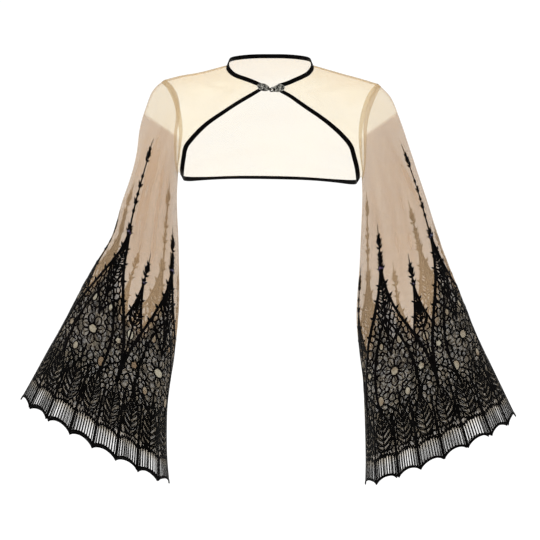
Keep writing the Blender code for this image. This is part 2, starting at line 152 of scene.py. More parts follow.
# Half width of the big leaves above the bars, in scallops, at heights
BIG_LEAF = [(0, 0.0), (44, 0.0), (54, 0.2), (66, 0.34), (80, 0.38), (94, 0.33), (108, 0.19), (124, 0.0)]

# Sweeping lines of a tall peak: low and high end, scallops away from its middle at both
ARCH_SWEEPS = [(118.0, 160.0, 1.0, 2.0), (150.0, 214.0, 1.12, 1.5), (206.0, 250.0, 0.0, 0.9),
               (96.0, 136.0, 0.0, 0.95), (232.0, 288.0, 0.0, 0.55)]

# Plain ovals within the embroidery: scallops away from a tall peak's middle, height, half sizes
OVALS = [(0.0, 178, 9.4, 7.4), (-1.4, 166, 7.2, 8.6), (1.46, 186, 7.0, 8.4), (-0.62, 226, 5.6, 8.0),
         (2.0, 208, 6.4, 8.8), (2.0, 183, 4.6, 7.0), (-0.5, 137, 5.6, 7.4), (0.95, 138, 6.6, 8.8),
         (0.5, 226, 4.4, 6.4)]

# Flowers: scallops away from a tall peak's middle, height, radius, petals, turn
BLOSSOMS = [(0.0, 178, 25.0, 7, 0.4), (-1.4, 166, 18.0, 5, 1.57), (1.46, 186, 16.0, 5, -1.57)]

# Half width of a clasp half's plate at shares of its length, from the joining end
PLATE_RIM = [(0, 0), (0.02, 2.3), (0.1, 3.6), (0.22, 4.7), (0.38, 5.5), (0.54, 5.8), (0.72, 5.1),
             (0.86, 3.8), (0.96, 2.1), (1, 0)]

# Scroll wires of a clasp half: share of its length, z, size, turn, wire radius
SCROLLS = [(0.25, 2.1, 2.1, 1, 0.62), (0.6, 2.5, 2.6, -1, 0.7)]

# Soldered grains of a clasp half: share of its length, z, radius
GRAINS = [(0.42, 0.0, 1.3), (0.42, 4.1, 0.75), (0.42, -4.1, 0.75), (0.9, 0.0, 0.85), (0.75, 0.0, 0.7),
          (0.25, 0.0, 0.6), (0.58, 0.0, 0.6), (0.1, 1.8, 0.55), (0.1, -1.8, 0.55), (0.25, 2.1, 0.6),
          (0.25, -2.1, 0.6), (0.6, 2.5, 0.65), (0.6, -2.5, 0.65)]

# Middle of the hook's tongue: x, z, y
TONGUE = [(7.4, 0, -0.2), (5.2, 0, -0.7), (3.4, 0, -1.7), (1.6, 0, -2.4), (-0.2, 0, -2.5), (-1.6, 0, -2.0),
          (-2.5, 0, -1.0), (-2.7, 0, 0.4), (-2.6, 0, 1.3)]


# Shapes in space

def unit(vectors):
    length = np.linalg.norm(vectors, axis=-1, keepdims=True)
    return vectors / np.maximum(length, 1e-9)


def run_along(line):
    """Length from the start of the line to each of its points."""
    return np.concatenate([[0.0], np.cumsum(np.linalg.norm(np.diff(line, axis=0), axis=1))])


def even_points(line, cells, crowding=0.0):
    """The line cut into cells of equal length, or crowded towards its end."""
    along = run_along(line)
    place = np.linspace(0.0, 1.0, cells + 1)
    place = (1 - crowding) * place + crowding * (1 - (1 - place) ** 3)
    wanted = along[-1] * place
    return np.column_stack([np.interp(wanted, along, line[:, k]) for k in range(line.shape[1])])


def smooth_values(at, values, wanted):
    """Values on a smooth curve through the given ones."""
    at = np.asarray(at, float)
    values = np.asarray(values, float)
    slope = np.gradient(values, at, axis=0)
    k = np.clip(np.searchsorted(at, wanted, side="right") - 1, 0, len(at) - 2)
    width = at[k + 1] - at[k]
    t = (wanted - at[k]) / width
    if values.ndim > 1:
        t = t[:, None]
        width = width[:, None]
    rise = (1 + 2 * t) * (1 - t) ** 2 * values[k] + t * t * (3 - 2 * t) * values[k + 1]
    return rise + width * (t * (1 - t) ** 2 * slope[k] - t * t * (1 - t) * slope[k + 1])


def smooth_line(points, cells, crowding=0.0):
    """Evenly spaced points on a smooth curve through the given ones."""
    points = np.array(points, float)
    at = run_along(points)
    line = smooth_values(at, points, np.linspace(0.0, at[-1], 401))
    return even_points(line, cells, crowding)


def finer(net, rows, columns, ring=False):
    """The net with more points, on smooth curves through its own."""
    def along_first(values, times):
        flat = values.reshape(len(values), -1)
        places = np.arange(len(values))
        wanted = np.linspace(0, len(values) - 1, times * (len(values) - 1) + 1)
        return smooth_values(places, flat, wanted).reshape(-1, *values.shape[1:])

    net = along_first(net, rows)
    if ring:
        wide = np.concatenate([net[:, -3:], net, net[:, :3]], axis=1)
        wide = along_first(wide.swapaxes(0, 1), columns).swapaxes(0, 1)
        return wide[:, 3 * columns:(3 + net.shape[1]) * columns]
    return along_first(net.swapaxes(0, 1), columns).swapaxes(0, 1)


def side_line(side, name, cells, crowding=0.0):
    """A seam line of one side, on its own side of the middle."""
    line = smooth_line(SIDES[side][name], cells, crowding)
    line[:, 0] *= SIDES[side]["sign"]
    return line


def patch(top, bottom, first, last, places=None):
    """Net between four lines: its rows run from top to bottom, its columns from first to last."""
    s = np.linspace(0, 1, len(first))[:, None, None]
    top_place = np.linspace(0, 1, len(top))[:, None]
    bottom_place = top_place if places is None else np.array(places)[:, None]
    t = (1 - s) * top_place[None] + s * bottom_place[None]
    top_bow = top - (1 - top_place) * top[0] - top_place * top[-1]
    bottom_bow = bottom - (1 - bottom_place) * bottom[0] - bottom_place * bottom[-1]
    return (1 - t) * first[:, None] + t * last[:, None] + (1 - s) * top_bow + s * bottom_bow


def net_normals(net, ring, centre):
    """Unit normals of the net, on the side away from the centre."""
    if ring:
        across = np.roll(net, -1, axis=1) - np.roll(net, 1, axis=1)
    else:
        across = np.gradient(net, axis=1)
    normals = unit(np.cross(across, np.gradient(net, axis=0)))
    if np.sum(normals * (net - np.asarray(centre, float))) < 0:
        normals = -normals
    return normals


def armhole_loop(side):
    """The armhole: down the front from the shoulder tip to the underarm, and up the back."""
    front = side_line(side, "armhole_front", armhole_cells)
    back = side_line(side, "armhole_back", armhole_cells)
    return np.concatenate([front, back[::-1][1:-1]])


def sleeve_ring(side, share, loop):
    """One ring of the sleeve, as a front half and a back half of evenly spaced points."""
    table = SIDES[side]
    stations = np.array(SLEEVE_STATIONS, float)
    inner_share, half_depth = smooth_values(stations[:, 0], stations[:, 1:], np.array([share]))[0]
    outer_line = smooth_line(table["sleeve_outer"], 200)
    inner_line = smooth_line(table["sleeve_inner"], 200)
    places = np.linspace(0, 1, 201)
    outer = np.array([np.interp(share, places, outer_line[:, k]) for k in (0, 1)])
    inner = np.array([np.interp(inner_share, places, inner_line[:, k]) for k in (0, 1)])
    chord = outer - inner
    middle = 0.5 * (outer + inner)
    down = unit(np.array([chord[1], -chord[0]]))
    own = np.array([table["sign"], 1.0])
    start = 0.5 * (outer_line[0] + inner_line[0])
    start_chord = outer_line[0] - inner_line[0]
    start_down = unit(np.array([start_chord[1], -start_chord[0]]))
    flat = loop[:, [0, 2]] * own - start
    held = np.column_stack([
        flat @ start_chord / (start_chord @ start_chord), flat @ start_down, loop[:, 1],
    ])
    turn = min(share / armhole_shape_ends, 1.0)
    bell = turn * turn * (3 - 2 * turn)
    halves = []
    for first, sag in ((0.0, table["hem_sag"][0]), (math.pi, table["hem_sag"][1])):
        angle = first + np.linspace(0, math.pi, 97)
        fold = np.zeros_like(angle)
        for degrees, spread, depth, begins in FOLDS:
            grown = np.clip((share - begins) / (1 - begins), 0, 1)
            fold += depth * grown ** 1.3 * np.exp(-(((np.degrees(angle) - degrees) / spread) ** 2))
        height = np.abs(np.sin(angle)) ** 0.92
        front = -1.0 if first == 0 else 1.0
        shape = np.column_stack([
            0.5 * np.cos(angle),
            sag * share ** 2 * height,
            sleeve_centre_y + front * (half_depth * height + fold * np.abs(np.sin(angle))),
        ])
        start_at = 0 if first == 0 else -armhole_cells
        half = np.roll(held, start_at, axis=0)[:armhole_cells + 1]
        loop_shape = even_points(half, 96)
        mixed = (1 - bell) * loop_shape + bell * shape
        flat_points = middle + mixed[:, :1] * chord + mixed[:, 1:2] * down
        ring = np.column_stack([flat_points[:, 0] * table["sign"], mixed[:, 2], flat_points[:, 1]])
        halves.append(even_points(ring, scallops * 3 // 2))
    return np.concatenate([halves[0][:-1], halves[1][:-1]])


def front_net(side):
    """Net of a front: its rows run from the neck and the front edge to the armhole."""
    first = np.concatenate([
        side_line(side, "neck", neck_cells_front),
        side_line(side, "edge", armhole_cells - neck_cells_front, edge_crowding)[1:],
    ])
    underarm = side_line(side, "armhole_front", 1)[-1]
    places = np.array(SIDE_SEAM_PLACES)
    side_seam = first[-1] + places[:, None] * (underarm - first[-1])
    return patch(
        side_line(side, "shoulder", shoulder_cells), side_seam, first,
        side_line(side, "armhole_front", armhole_cells), places,
    )


def back_net():
    """Net of the back: its rows run across, from the shoulders and the neck down to the hem."""
    hem_cells = 2 * shoulder_cells + back_neck_cells - 2
    right = side_line("right", "shoulder", shoulder_cells)
    left = side_line("left", "shoulder", shoulder_cells)
    top = np.concatenate([right[::-1], smooth_line(BACK_NECK, back_neck_cells)[1:-1], left])
    bottom = np.concatenate([
        side_line("right", "armhole_back", 1)[-1:], smooth_line(BACK_HEM, hem_cells),
        side_line("left", "armhole_back", 1)[-1:],
    ])
    net = patch(
        top, bottom, side_line("right", "armhole_back", armhole_cells),
        side_line("left", "armhole_back", armhole_cells),
    )
    taut = net.copy()
    for _ in range(900):
        taut[1:-1, 1:-1] = 0.25 * (taut[:-2, 1:-1] + taut[2:, 1:-1] + taut[1:-1, :-2] + taut[1:-1, 2:])
    down = np.linspace(0, 1, net.shape[0])[:, None]
    across = np.linspace(0, 1, net.shape[1])[None, :]
    rounded = taut[..., 1] + back_roundness * np.sin(math.pi * down) * np.sin(math.pi * across)
    follows_neck = 0.8 * (1 - down) ** 2.5
    net[..., 1] = follows_neck * net[..., 1] + (1 - follows_neck) * rounded
    return net


def away_from(edge, inner, normals, lift, end):
    """Directions away from a panel's edge, square to it and along the panel; both ends lean as given."""
    along = unit(np.gradient(edge, axis=0))
    out = unit(edge - inner)
    out = out - along * np.sum(out * along, axis=1, keepdims=True)
    out = unit(unit(out) + np.array([0, 0, lift]))
    lean = np.array(end, float) - normals * (normals @ np.array(end, float))[:, None]
    for k, share in ((0, 1.0), (1, 0.5), (-2, 0.5), (-1, 1.0)):
        out[k] = unit((1 - share) * out[k] + share * unit(lean[k]))
    for _ in range(3):
        out[1:-1] = unit(out[:-2] + 2 * out[1:-1] + out[2:])
    return out


def binding_lines(name):
    """Seam line, direction away from the panel and normals of a binding, on fine smooth lines."""
    right, left, back = front_net("right"), front_net("left"), back_net()
    nets = (right, left, back)
    right_normals, left_normals, back_normals = (net_normals(net, False, body_centre) for net in nets)
    neck = slice(shoulder_cells, -shoulder_cells)
    tip = neck_cells_front
    if name == "neck":
        parts = [
            (right[tip::-1, 0], right[tip::-1, 1], right_normals[tip::-1, 0]),
            (back[0, neck], back[1, neck], back_normals[0, neck]),
            (left[:tip + 1, 0], left[:tip + 1, 1], left_normals[:tip + 1, 0]),
        ]
    else:
        parts = [
            (right[tip:, 0], right[tip:, 1], right_normals[tip:, 0]),
            (back[-1, 1:-1], back[-2, 1:-1], back_normals[-1, 1:-1]),
            (left[:tip - 1:-1, 0], left[:tip - 1:-1, 1], left_normals[:tip - 1:-1, 0]),
        ]
    edge, inner, panel = (
        np.concatenate([parts[0][k][:-1], parts[1][k], parts[2][k][1:]]) for k in range(3)
    )
    up = 1 if name == "neck" else -1
    away = away_from(edge, inner, panel, 0.25 if up > 0 else 0.0, (0, 0, up))
    net = np.stack([edge, edge + away * 6.0])
    own = net_normals(net, False, body_centre)[0]
    lines = finer(np.stack([edge, away, own], axis=1), 5, 1)
    return lines[:, 0], unit(lines[:, 1]), unit(lines[:, 2])


class SleeveCloth:
    """The cloth of one sleeve: where a place round it and above its hem lies in space.

    Places round the sleeve are counted in scallops from the outer line by the front, heights in
    millimetres up from the tips of the scallops.
    """

    columns = 192
    step = 4.0

    def __init__(self, side):
        self.side = side
        loop = armhole_loop(side)
        shares = np.linspace(0, 1, 41)[1:]
        rings = np.stack([loop] + [sleeve_ring(side, share, loop) for share in shares])
        lines = finer(rings, 3, 4, ring=True)[::-1]
        centre = lines.mean(axis=1, keepdims=True)
        runs = np.linalg.norm(np.diff(lines, axis=0), axis=2)
        along = np.concatenate([np.zeros((1, self.columns)), np.cumsum(runs, axis=0)])
        around = np.arange(self.columns) * scallops / self.columns
        full = along[-1]
        depth = self.crease(np.broadcast_to(around, along.shape), along, 9.0) * 2.2
        grain = np.sin(2.1 * around + 0.013 * along) * np.sin(0.021 * along + 1.7 * np.sin(around))
        fade = np.clip((full - along) / 60.0, 0, 1) * np.clip(along / 40.0, 0, 1)
        lines = lines + net_normals(lines, True, centre) * ((depth + 0.9 * grain) * fade)[..., None]
        self.around = around
        self.lines = lines
        self.along = along
        self.full = full
        heights = np.arange(0.0, 640.0, self.step)
        self.grid = self.at(np.repeat(heights[:, None], self.columns, axis=1))
        self.normals = net_normals(self.grid[:135], True, self.grid[:135].mean(axis=1, keepdims=True))
        girth = np.linalg.norm(self.grid - np.roll(self.grid, 1, axis=1), axis=2).sum(axis=1)
        self.heights = heights
        self.scallop_width = girth / scallops

    def at(self, distances):
        """Points of every column at distances above the hem line."""
        points = np.zeros((*distances.shape, 3))
        for j in range(self.columns):
            for k in range(3):
                points[:, j, k] = np.interp(distances[:, j], self.along[:, j], self.lines[:, j, k])
        return points

    def crease(self, around, height, width):
        """How deep each place lies in the soft folds of the upper sleeve."""
        total = np.zeros(around.shape)
        for top, bottom, high, low, depth in SIDES[self.side]["creases"]:
            share = np.clip((height - low) / (high - low), 0, 1)
            line = bottom + (top - bottom) * share
            ends = np.clip((height - low) / 110 + 0.5, 0, 1) * np.clip((high - height) / 110 + 0.5, 0, 1)
            total += depth * ends * np.exp(-(((around - line) * 20 / width) ** 2))
        return total

    def width(self, height):
        """Width of one scallop's share of the girth at a height."""
        return np.interp(height, self.heights, self.scallop_width)

    def place(self, spots):
        """Points in space and normals at spots round the sleeve and above its hem."""
        across = (spots[:, 0] % scallops) * self.columns / scallops
        up = np.clip(spots[:, 1] / self.step, 0, len(self.normals) - 1.001)
        i = up.astype(int)
        j = across.astype(int)
        a = (up - i)[:, None]
        b = (across - j)[:, None]
        j = j % self.columns
        nearest = (j + 1) % self.columns

        def mixed(values):
            low = (1 - b) * values[i, j] + b * values[i, nearest]
            high = (1 - b) * values[i + 1, j] + b * values[i + 1, nearest]
            return (1 - a) * low + a * high

        return mixed(self.grid), unit(mixed(self.normals))


def gap_round(around, middle, period=scallops):
    """Scallops from the middle to a place, the shorter way round."""
    return (around - middle + period / 2) % period - period / 2


def scallop_edge(around):
    """Height of the scalloped edge above its tips."""
    return 9.6 * np.abs(np.sin(math.pi * around)) ** 0.62


# Meshes

def place_piece(name, data):
    piece = bpy.data.objects.new(name, data)
    bpy.context.scene.collection.objects.link(piece)
    return piece


def make_piece(name, points, faces, uv=None, smooth=True):
    """A mesh of points in millimetres, with its cloth map where that is given."""
    mesh = bpy.data.meshes.new(name)
    mesh.from_pydata((points.reshape(-1, 3) * MM).tolist(), [], faces)
    if uv is not None:
        layer = mesh.uv_layers.new(name="cloth")
        layer.data.foreach_set("uv", uv.astype(np.float32).ravel())
    mesh.update()
    if smooth:
        mesh.shade_smooth()
    return place_piece(name, mesh)


def surface(name, net, uv, ring=False, capped=False, outward=None):
    """Mesh over a net of points; a wider map joins its last column to its first, a longer map its last row
    too. ring is not used.
    """
    rows, columns = net.shape[:2]
    tall, wide = uv.shape[:2]
    i, j = np.meshgrid(np.arange(tall - 1), np.arange(wide - 1), indexing="ij")
    steps = ((0, 0), (0, 1), (1, 1), (1, 0))
    if outward is not None:
        turn = np.cross(net[0, 1] - net[0, 0], net[1, 0] - net[0, 0]) @ outward[0, 0]
        steps = steps if turn > 0 else steps[::-1]
    corners = np.stack([((i + a) % rows) * columns + (j + b) % columns for a, b in steps], axis=-1)
    spots = np.stack([(i + a) * wide + j + b for a, b in steps], axis=-1).reshape(-1)
    faces = corners.reshape(-1, 4).tolist()
    where = uv.reshape(-1, 2)[spots]
    if capped:
        first = list(range(columns))
        last = list(range((rows - 1) * columns, rows * columns))
        faces += [first[::-1], last]
        where = np.concatenate([where, np.zeros((2 * columns, 2))])
    return make_piece(name, net, faces, where)


def cloth_uv(net, ring=False):
    """Lengths along the rows and down the columns, a hundred millimetres to one."""
    wide = np.concatenate([net, net[:, :1]], axis=1) if ring else net
    across = np.linalg.norm(np.diff(wide, axis=1), axis=2)
    down = np.linalg.norm(np.diff(wide, axis=0), axis=2)
    x = np.concatenate([np.zeros((len(wide), 1)), np.cumsum(across, axis=1)], axis=1)
    y = np.concatenate([np.zeros((1, wide.shape[1])), np.cumsum(down, axis=0)])
    x = x - x.mean(axis=1, keepdims=True)
    return np.stack([x, y], axis=-1) / 100.0


def paint_attribute(piece, name, values):
    """Keeps one number for each point of the mesh."""
    layer = piece.data.attributes.new(name, "FLOAT", "POINT")
    layer.data.foreach_set("value", np.asarray(values, np.float32).ravel())


def only(piece):
    bpy.ops.object.select_all(action="DESELECT")
    piece.select_set(True)
    bpy.context.view_layer.objects.active = piece


def thicken(piece, thickness):
    """Gives cloth its two faces and its cut edge."""
    only(piece)
    bpy.ops.object.modifier_add(type="SOLIDIFY")
    wall = piece.modifiers[-1]
    wall.thickness = thickness
    wall.offset = 0.0
    wall.use_even_offset = False
    bpy.ops.object.modifier_apply(modifier=wall.name)


def tube(name, rings, run, **ends):
    """Surface through rings of points, its cloth map running along it and once round it."""
    share = np.linspace(0, 1, rings.shape[1] + 1)
    uv = np.stack(np.broadcast_arrays(run[:, None], share[None, :]), axis=-1)
    return surface(name, rings, uv, ring=True, outward=rings - rings.mean(axis=1, keepdims=True), **ends)


def swept_band(edge, away, normals, profile, name):
    """Band along a line: the profile gives places across it and their height over its middle."""
    rings = np.stack([edge + away * across + normals * height for across, height in profile], axis=1)
    return tube(name, rings, run_along(edge) / 10.0, capped=True)


def fix_faces(piece):
    """Turns every face outwards."""
    only(piece)
    bpy.ops.object.mode_set(mode="EDIT")
    bpy.ops.mesh.select_all(action="SELECT")
    bpy.ops.mesh.normals_make_consistent(inside=False)
    bpy.ops.object.mode_set(mode="OBJECT")


def joined(pieces, name):
    """One piece made of several."""
    bpy.ops.object.select_all(action="DESELECT")
    for piece in pieces:
        piece.select_set(True)
    bpy.context.view_layer.objects.active = pieces[0]
    if len(pieces) > 1:
        bpy.ops.object.join()
    piece = bpy.context.view_layer.objects.active
    piece.name = name
    piece.data.name = name
    return piece


def dress(piece, material, nodes=()):
    """Gives a finished piece its material and its place in the frame."""
    piece.data.materials.clear()
    piece.data.materials.append(material)
    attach(piece, "root")
    if nodes:
        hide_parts(*nodes)
    return piece


class Threadwork:
    """Lines of raised stitching on a cloth, gathered and made into one mesh."""

    def __init__(self, cloth, step=4.0):
        self.cloth = cloth
        self.step = step
        self.lines = []
        self.openings = []

    def lengths(self, spots):
        run = np.diff(spots, axis=0)
        run[:, 0] *= self.cloth.width(0.5 * (spots[1:, 1] + spots[:-1, 1]))
        return np.linalg.norm(run, axis=1)

    def line(self, spots, width, lift=None, cut=True):
        """One line of stitching through spots on the cloth, of one width or of several along it."""
        spots = np.asarray(spots, float)
        along = np.concatenate([[0.0], np.cumsum(self.lengths(spots))])
        if along[-1] < 0.8:
            return
        cells = max(int(math.ceil(along[-1] / self.step)), 2)
        widths = np.atleast_1d(np.asarray(width, float))
        if len(widths) > 2:
            cells = max(cells, 2 * (len(widths) - 1))
        wanted = np.linspace(0, along[-1], cells + 1)
        points = np.column_stack([np.interp(wanted, along, spots[:, k]) for k in (0, 1)])
        wide = np.interp(wanted / along[-1], np.linspace(0, 1, len(widths)), widths)
        if cut and self.openings:
            keep = np.ones(len(points), bool)
            for around, height, half_width, half_height in self.openings:
                x = gap_round(points[:, 0], around) * self.cloth.width(height) / (half_width + 0.6)
                y = (points[:, 1] - height) / (half_height + 0.6)
                keep &= x * x + y * y > 1
            start = 0
            for k in range(len(keep) + 1):
                if k == len(keep) or not keep[k]:
                    if k - start > 1:
                        self.lines.append((points[start:k], wide[start:k], lift))
                    start = k + 1
            return
        self.lines.append((points, wide, lift))

    def leaf(self, root, tip, bow, width, lean=0.0):
        """Outline of a leaf from its root to its tip, as two bowed lines."""
        root, tip = np.array(root, float), np.array(tip, float)
        share = np.linspace(0, 1, 8)[:, None]
        scale = np.array([self.cloth.width(0.5 * (root[1] + tip[1])), 1.0])
        run = (tip - root) * scale
        square = np.array([-run[1], run[0]]) / max(np.linalg.norm(run), 1e-6)
        arc = np.sin(math.pi * share ** 0.85)
        for side in (-1.0, 1.0):
            offset = (side * bow + lean) * arc * square / scale
            self.line(root + share * (tip - root) + offset, (width, width, 0.75 * width))

    def filled(self, root, tip, width, lift=0.9):
        """A solid stitched leaf or bud."""
        root, tip = np.array(root, float), np.array(tip, float)
        share = np.linspace(0, 1, 7)[:, None]
        widths = (0.5, 0.62 * width, width, 0.92 * width, 0.6 * width, 0.25 * width, 0.2)
        self.line(root + share * (tip - root), widths, lift, cut=False)

    def piece(self, name, material, slot):
        """The mesh of all lines: each is a low rounded ridge on both faces of the cloth."""
        counts = [len(points) for points, _, _ in self.lines]
        places, normals = self.cloth.place(np.concatenate([points for points, _, _ in self.lines]))
        faces = []
        vertices = np.zeros((len(places), 4, 3))
        spots = np.zeros((len(places), 4, 2))
        start = 0
        for (points, wide, lift), count in zip(self.lines, counts):
            own = slice(start, start + count)
            line, up = places[own], normals[own]
            along = unit(np.gradient(line, axis=0))
            across = unit(np.cross(up, along))
            half = 0.5 * wide[:, None]
            rise = np.minimum(0.35 + 0.12 * half, 0.7) if lift is None else np.minimum(lift, 0.3 + half)
            sideways, upwards = across * half, up * rise
            vertices[own] = np.stack([line + sideways + upwards, line - sideways + upwards,
                                      line - sideways - upwards, line + sideways - upwards], axis=1)
            spots[own] = np.stack([np.repeat(run_along(line)[:, None] / 10.0, 4, axis=1),
                                   np.broadcast_to([0.0, 1.0, 1.0, 0.0], (count, 4))], axis=-1)
            first = 4 * (start + np.arange(count - 1))[:, None]
            for a in range(4):
                b = (a + 1) % 4
                faces.append(np.concatenate([first + a, first + b, first + b + 4, first + a + 4], axis=1))
            end = 4 * (start + count - 1)
            faces.append(np.array([[4 * start + 3, 4 * start + 2, 4 * start + 1, 4 * start],
                                   [end, end + 1, end + 2, end + 3]]))
            start += count
        faces = np.concatenate(faces)
        uv = spots.reshape(-1, 2)[faces.ravel()]
        return dress(make_piece(name, vertices, faces.tolist(), uv), material)


# Materials

class Tone:
    """A value on its way through a material's nodes. Arithmetic on it adds Math nodes."""

    def __init__(self, finish, socket):
        self.finish = finish
        self.socket = socket

    def __add__(self, other):
        return self.finish.math("ADD", self, other)

    def __radd__(self, other):
        return self.finish.math("ADD", other, self)

    def __sub__(self, other):
        return self.finish.math("SUBTRACT", self, other)

    def __rsub__(self, other):
        return self.finish.math("SUBTRACT", other, self)

    def __mul__(self, other):
        return self.finish.math("MULTIPLY", self, other)

    def __rmul__(self, other):
        return self.finish.math("MULTIPLY", other, self)


class Finish:
    """One material, mixed from nodes."""

    def __init__(self, name, **constants):
        self.material = bpy.data.materials.new(name)
        self.material.use_nodes = True
        self.tree = self.material.node_tree
        self.shader = self.tree.nodes["Principled BSDF"]
        self.set(**constants)

    def set(self, **values):
        """Puts values or links on the shader's sockets, named with _ for a space."""
        for name, value in values.items():
            self.put(self.shader.inputs[name.replace("_", " ").title().replace("Ior", "IOR")], value)

    def put(self, socket, value):
        if isinstance(value, Tone):
            self.tree.links.new(value.socket, socket)
        elif socket.type == "RGBA" and len(value) == 3:
            socket.default_value = (*value, 1.0)
        else:
            socket.default_value = value

    def node(self, kind, settings=None, values=None, output=0):
        """Any node: its settings first, then the values or links of its sockets."""
        made = self.tree.nodes.new(kind)
        for name, value in (settings or {}).items():
            setattr(made, name, value)
        for name, value in (values or {}).items():
            self.put(made.inputs[name], value)
        return Tone(self, made.outputs[output])

    def math(self, operation, *values):
        return self.node("ShaderNodeMath", {"operation": operation}, dict(enumerate(values)))

    def smooth_step(self, value, low, high):
        return self.node("ShaderNodeMapRange", {"interpolation_type": "SMOOTHSTEP"},
                         {"Value": value, "From Min": low, "From Max": high})

    def blend(self, share, first, second):
        return self.node("ShaderNodeMix", {"data_type": "RGBA"}, {0: share, 6: first, 7: second}, 2)

    def noise(self, scale, detail=2.0):
        place = self.node("ShaderNodeTexCoord", output=3)
        return self.node("ShaderNodeTexNoise", {}, {"Vector": place, "Scale": scale, "Detail": detail})

    def cloth_place(self, scale):
        """The two lengths of the piece's own cloth map."""
        where = self.node("ShaderNodeUVMap", {"uv_map": "cloth"})
        x = self.node("ShaderNodeSeparateXYZ", {}, {0: where})
        y = Tone(self, x.socket.node.outputs[1])
        return x * scale, y * scale

    def attribute(self, name):
        return self.node("ShaderNodeAttribute", {"attribute_name": name}, output=2)

    def bump(self, height, distance, strength):
        sizes = {"Height": height, "Distance": distance, "Strength": strength}
        self.set(normal=self.node("ShaderNodeBump", {}, sizes))


def scaled(colour, factor, plus=0.0):
    """The colour made lighter or darker."""
    return tuple(min(c * factor + plus, 1.0) for c in colour)


def tulle(name, colour, weight, net_size, marked=False, dark=None):
    """Fine net: threads round six-sided holes, warm and cool patches, denser where it creases. Marked cloth
    also gets painted shade in its creases and painted shadow under the lace.
    """
    finish = Finish(name, roughness=0.72, sheen_weight=0.25, sheen_roughness=0.4,
                    sheen_tint=(1.0, 0.9, 0.78))
    x, y = finish.cloth_place(100.0)
    turn = 2 * math.pi / (net_size / MM * 0.866)
    directions = ((1, 0), (-0.5, 0.866), (-0.5, -0.866))
    rays = [finish.math("COSINE", (x * a + y * b) * turn) for a, b in directions]
    hole = finish.smooth_step(rays[0] + rays[1] + rays[2], -0.7, 1.7)
    cloud = finish.smooth_step(finish.noise(36.0 if dark else 9.0, 3.0), 0.3, 0.7)
    shade = finish.blend(cloud, dark or scaled(colour, 0.93), scaled(colour, 1.07))
    cover = (1.22 - 0.5 * hole) * (0.96 + 0.08 * cloud) * weight
    if marked:
        crease = finish.attribute("crease")
        clear = finish.attribute("clear")
        shadow = finish.attribute("shadow")
        pale = finish.attribute("pale")
        cover = cover * (1.0 + 0.5 * crease + 0.4 * shadow) * (1.0 - clear)
        # Painted shade: along the creases the colour is darkened towards a deeper tan.
        painted_crease_shade = tuple(c * f for c, f in zip(colour, (0.86, 0.74, 0.6)))
        shade = finish.blend(crease * 0.75, shade, painted_crease_shade)
        shade = finish.blend(clear * 1.6, shade, (0.8, 0.62, 0.27))
        # Painted shadow: where the shadow mask lies, the tulle turns dark brown, lighter and darker in
        # random patches.
        patchy = finish.smooth_step(finish.noise(85.0, 2.0), 0.36, 0.66)
        painted_lace_shadow = finish.blend(patchy, (0.035, 0.029, 0.02), (0.165, 0.135, 0.092))
        shade = finish.blend(shadow, shade, painted_lace_shadow)
        shade = finish.blend(pale, shade, (0.8, 0.79, 0.77))
    finish.set(base_color=shade, alpha=cover)
    finish.bump(1.0 - hole, 0.00012, 0.4)
    return finish.material


def black_tape(name, colour):
    """Bias tape: a fine slanting weave, a little lighter on the edges where it wears."""
    finish = Finish(name, specular_ior_level=0.02)
    x, y = finish.cloth_place(1.0)
    over, under = (finish.math("SINE", (x * 10.0 + y * slant) * 2.6) for slant in (26.0, -26.0))
    weave = over * under
    wear = finish.smooth_step(finish.noise(60.0, 3.0), 0.52, 0.75)
    finish.set(base_color=finish.blend(wear * 0.5, colour, scaled(colour, 2.1, 0.0025)),
               roughness=0.46 + 0.16 * wear)
    finish.bump(weave, 0.00012, 0.6)
    return finish.material


def satin_thread(name, colour):
    """Satin stitch: threads laid across the line, with a soft gloss."""
    finish = Finish(name, specular_ior_level=0.02)
    x, y = finish.cloth_place(1.0)
    ridge = finish.math("SINE", (x + y * 0.04) * 90.0)
    tint = finish.smooth_step(finish.noise(45.0, 2.0), 0.35, 0.7)
    finish.set(base_color=finish.blend(tint, colour, scaled(colour, 1.9, 0.001)),
               roughness=0.36 + 0.1 * ridge + 0.08 * tint)
    finish.bump(ridge, 0.00012, 0.7)
    return finish.material


def corded_edge(name, colour):
    """Cord wrapped closely with thread."""
    finish = Finish(name, specular_ior_level=0.02)
    x, y = finish.cloth_place(1.0)
    wrap = finish.math("SINE", (x * 10.0 + y * 1.6) * 7.5)
    tint = finish.smooth_step(finish.noise(70.0, 2.0), 0.4, 0.7)
    finish.set(base_color=finish.blend(tint, colour, scaled(colour, 1.8, 0.0015)),
               roughness=0.42 + 0.12 * wrap)
    finish.bump(wrap, 0.00025, 0.8)
    return finish.material


def old_silver(name, colour):
    """Silver with black hollows, grey flanks, and high places that are polished by wear and also carry
    painted highlight.
    """
    finish = Finish(name, metallic=1.0)
    # Painted highlight: the parts that stand furthest to the front are made brighter, partly as wear and
    # partly as painted highlight.
    wear_and_highlight = finish.attribute("rubbed_and_highlit") + (finish.noise(330.0, 2.0) - 0.5) * 1.7
    speck = finish.noise(420.0, 4.0)
    bare = finish.smooth_step(wear_and_highlight, 0.05, 0.5)
    bright = finish.smooth_step(wear_and_highlight, 0.6, 1.0)
    grey = finish.blend(bare, scaled(colour, 0.015), scaled(colour, 0.13))
    finish.set(base_color=finish.blend(bright, grey, colour), roughness=0.6 - 0.3 * bright + 0.1 * speck)
    finish.bump(speck, 0.00015, 0.5)
    return finish.material


def dark_glass(name, colour):
    """Glass beads with a play of blue and violet."""
    finish = Finish(name, roughness=0.12, coat_weight=0.6, coat_roughness=0.05)
    play = finish.smooth_step(finish.noise(160.0, 1.0), 0.4, 0.6)
    finish.set(base_color=finish.blend(play, colour, (0.012, 0.014, 0.05)), metallic=0.2 + 0.2 * play)
    return finish.material


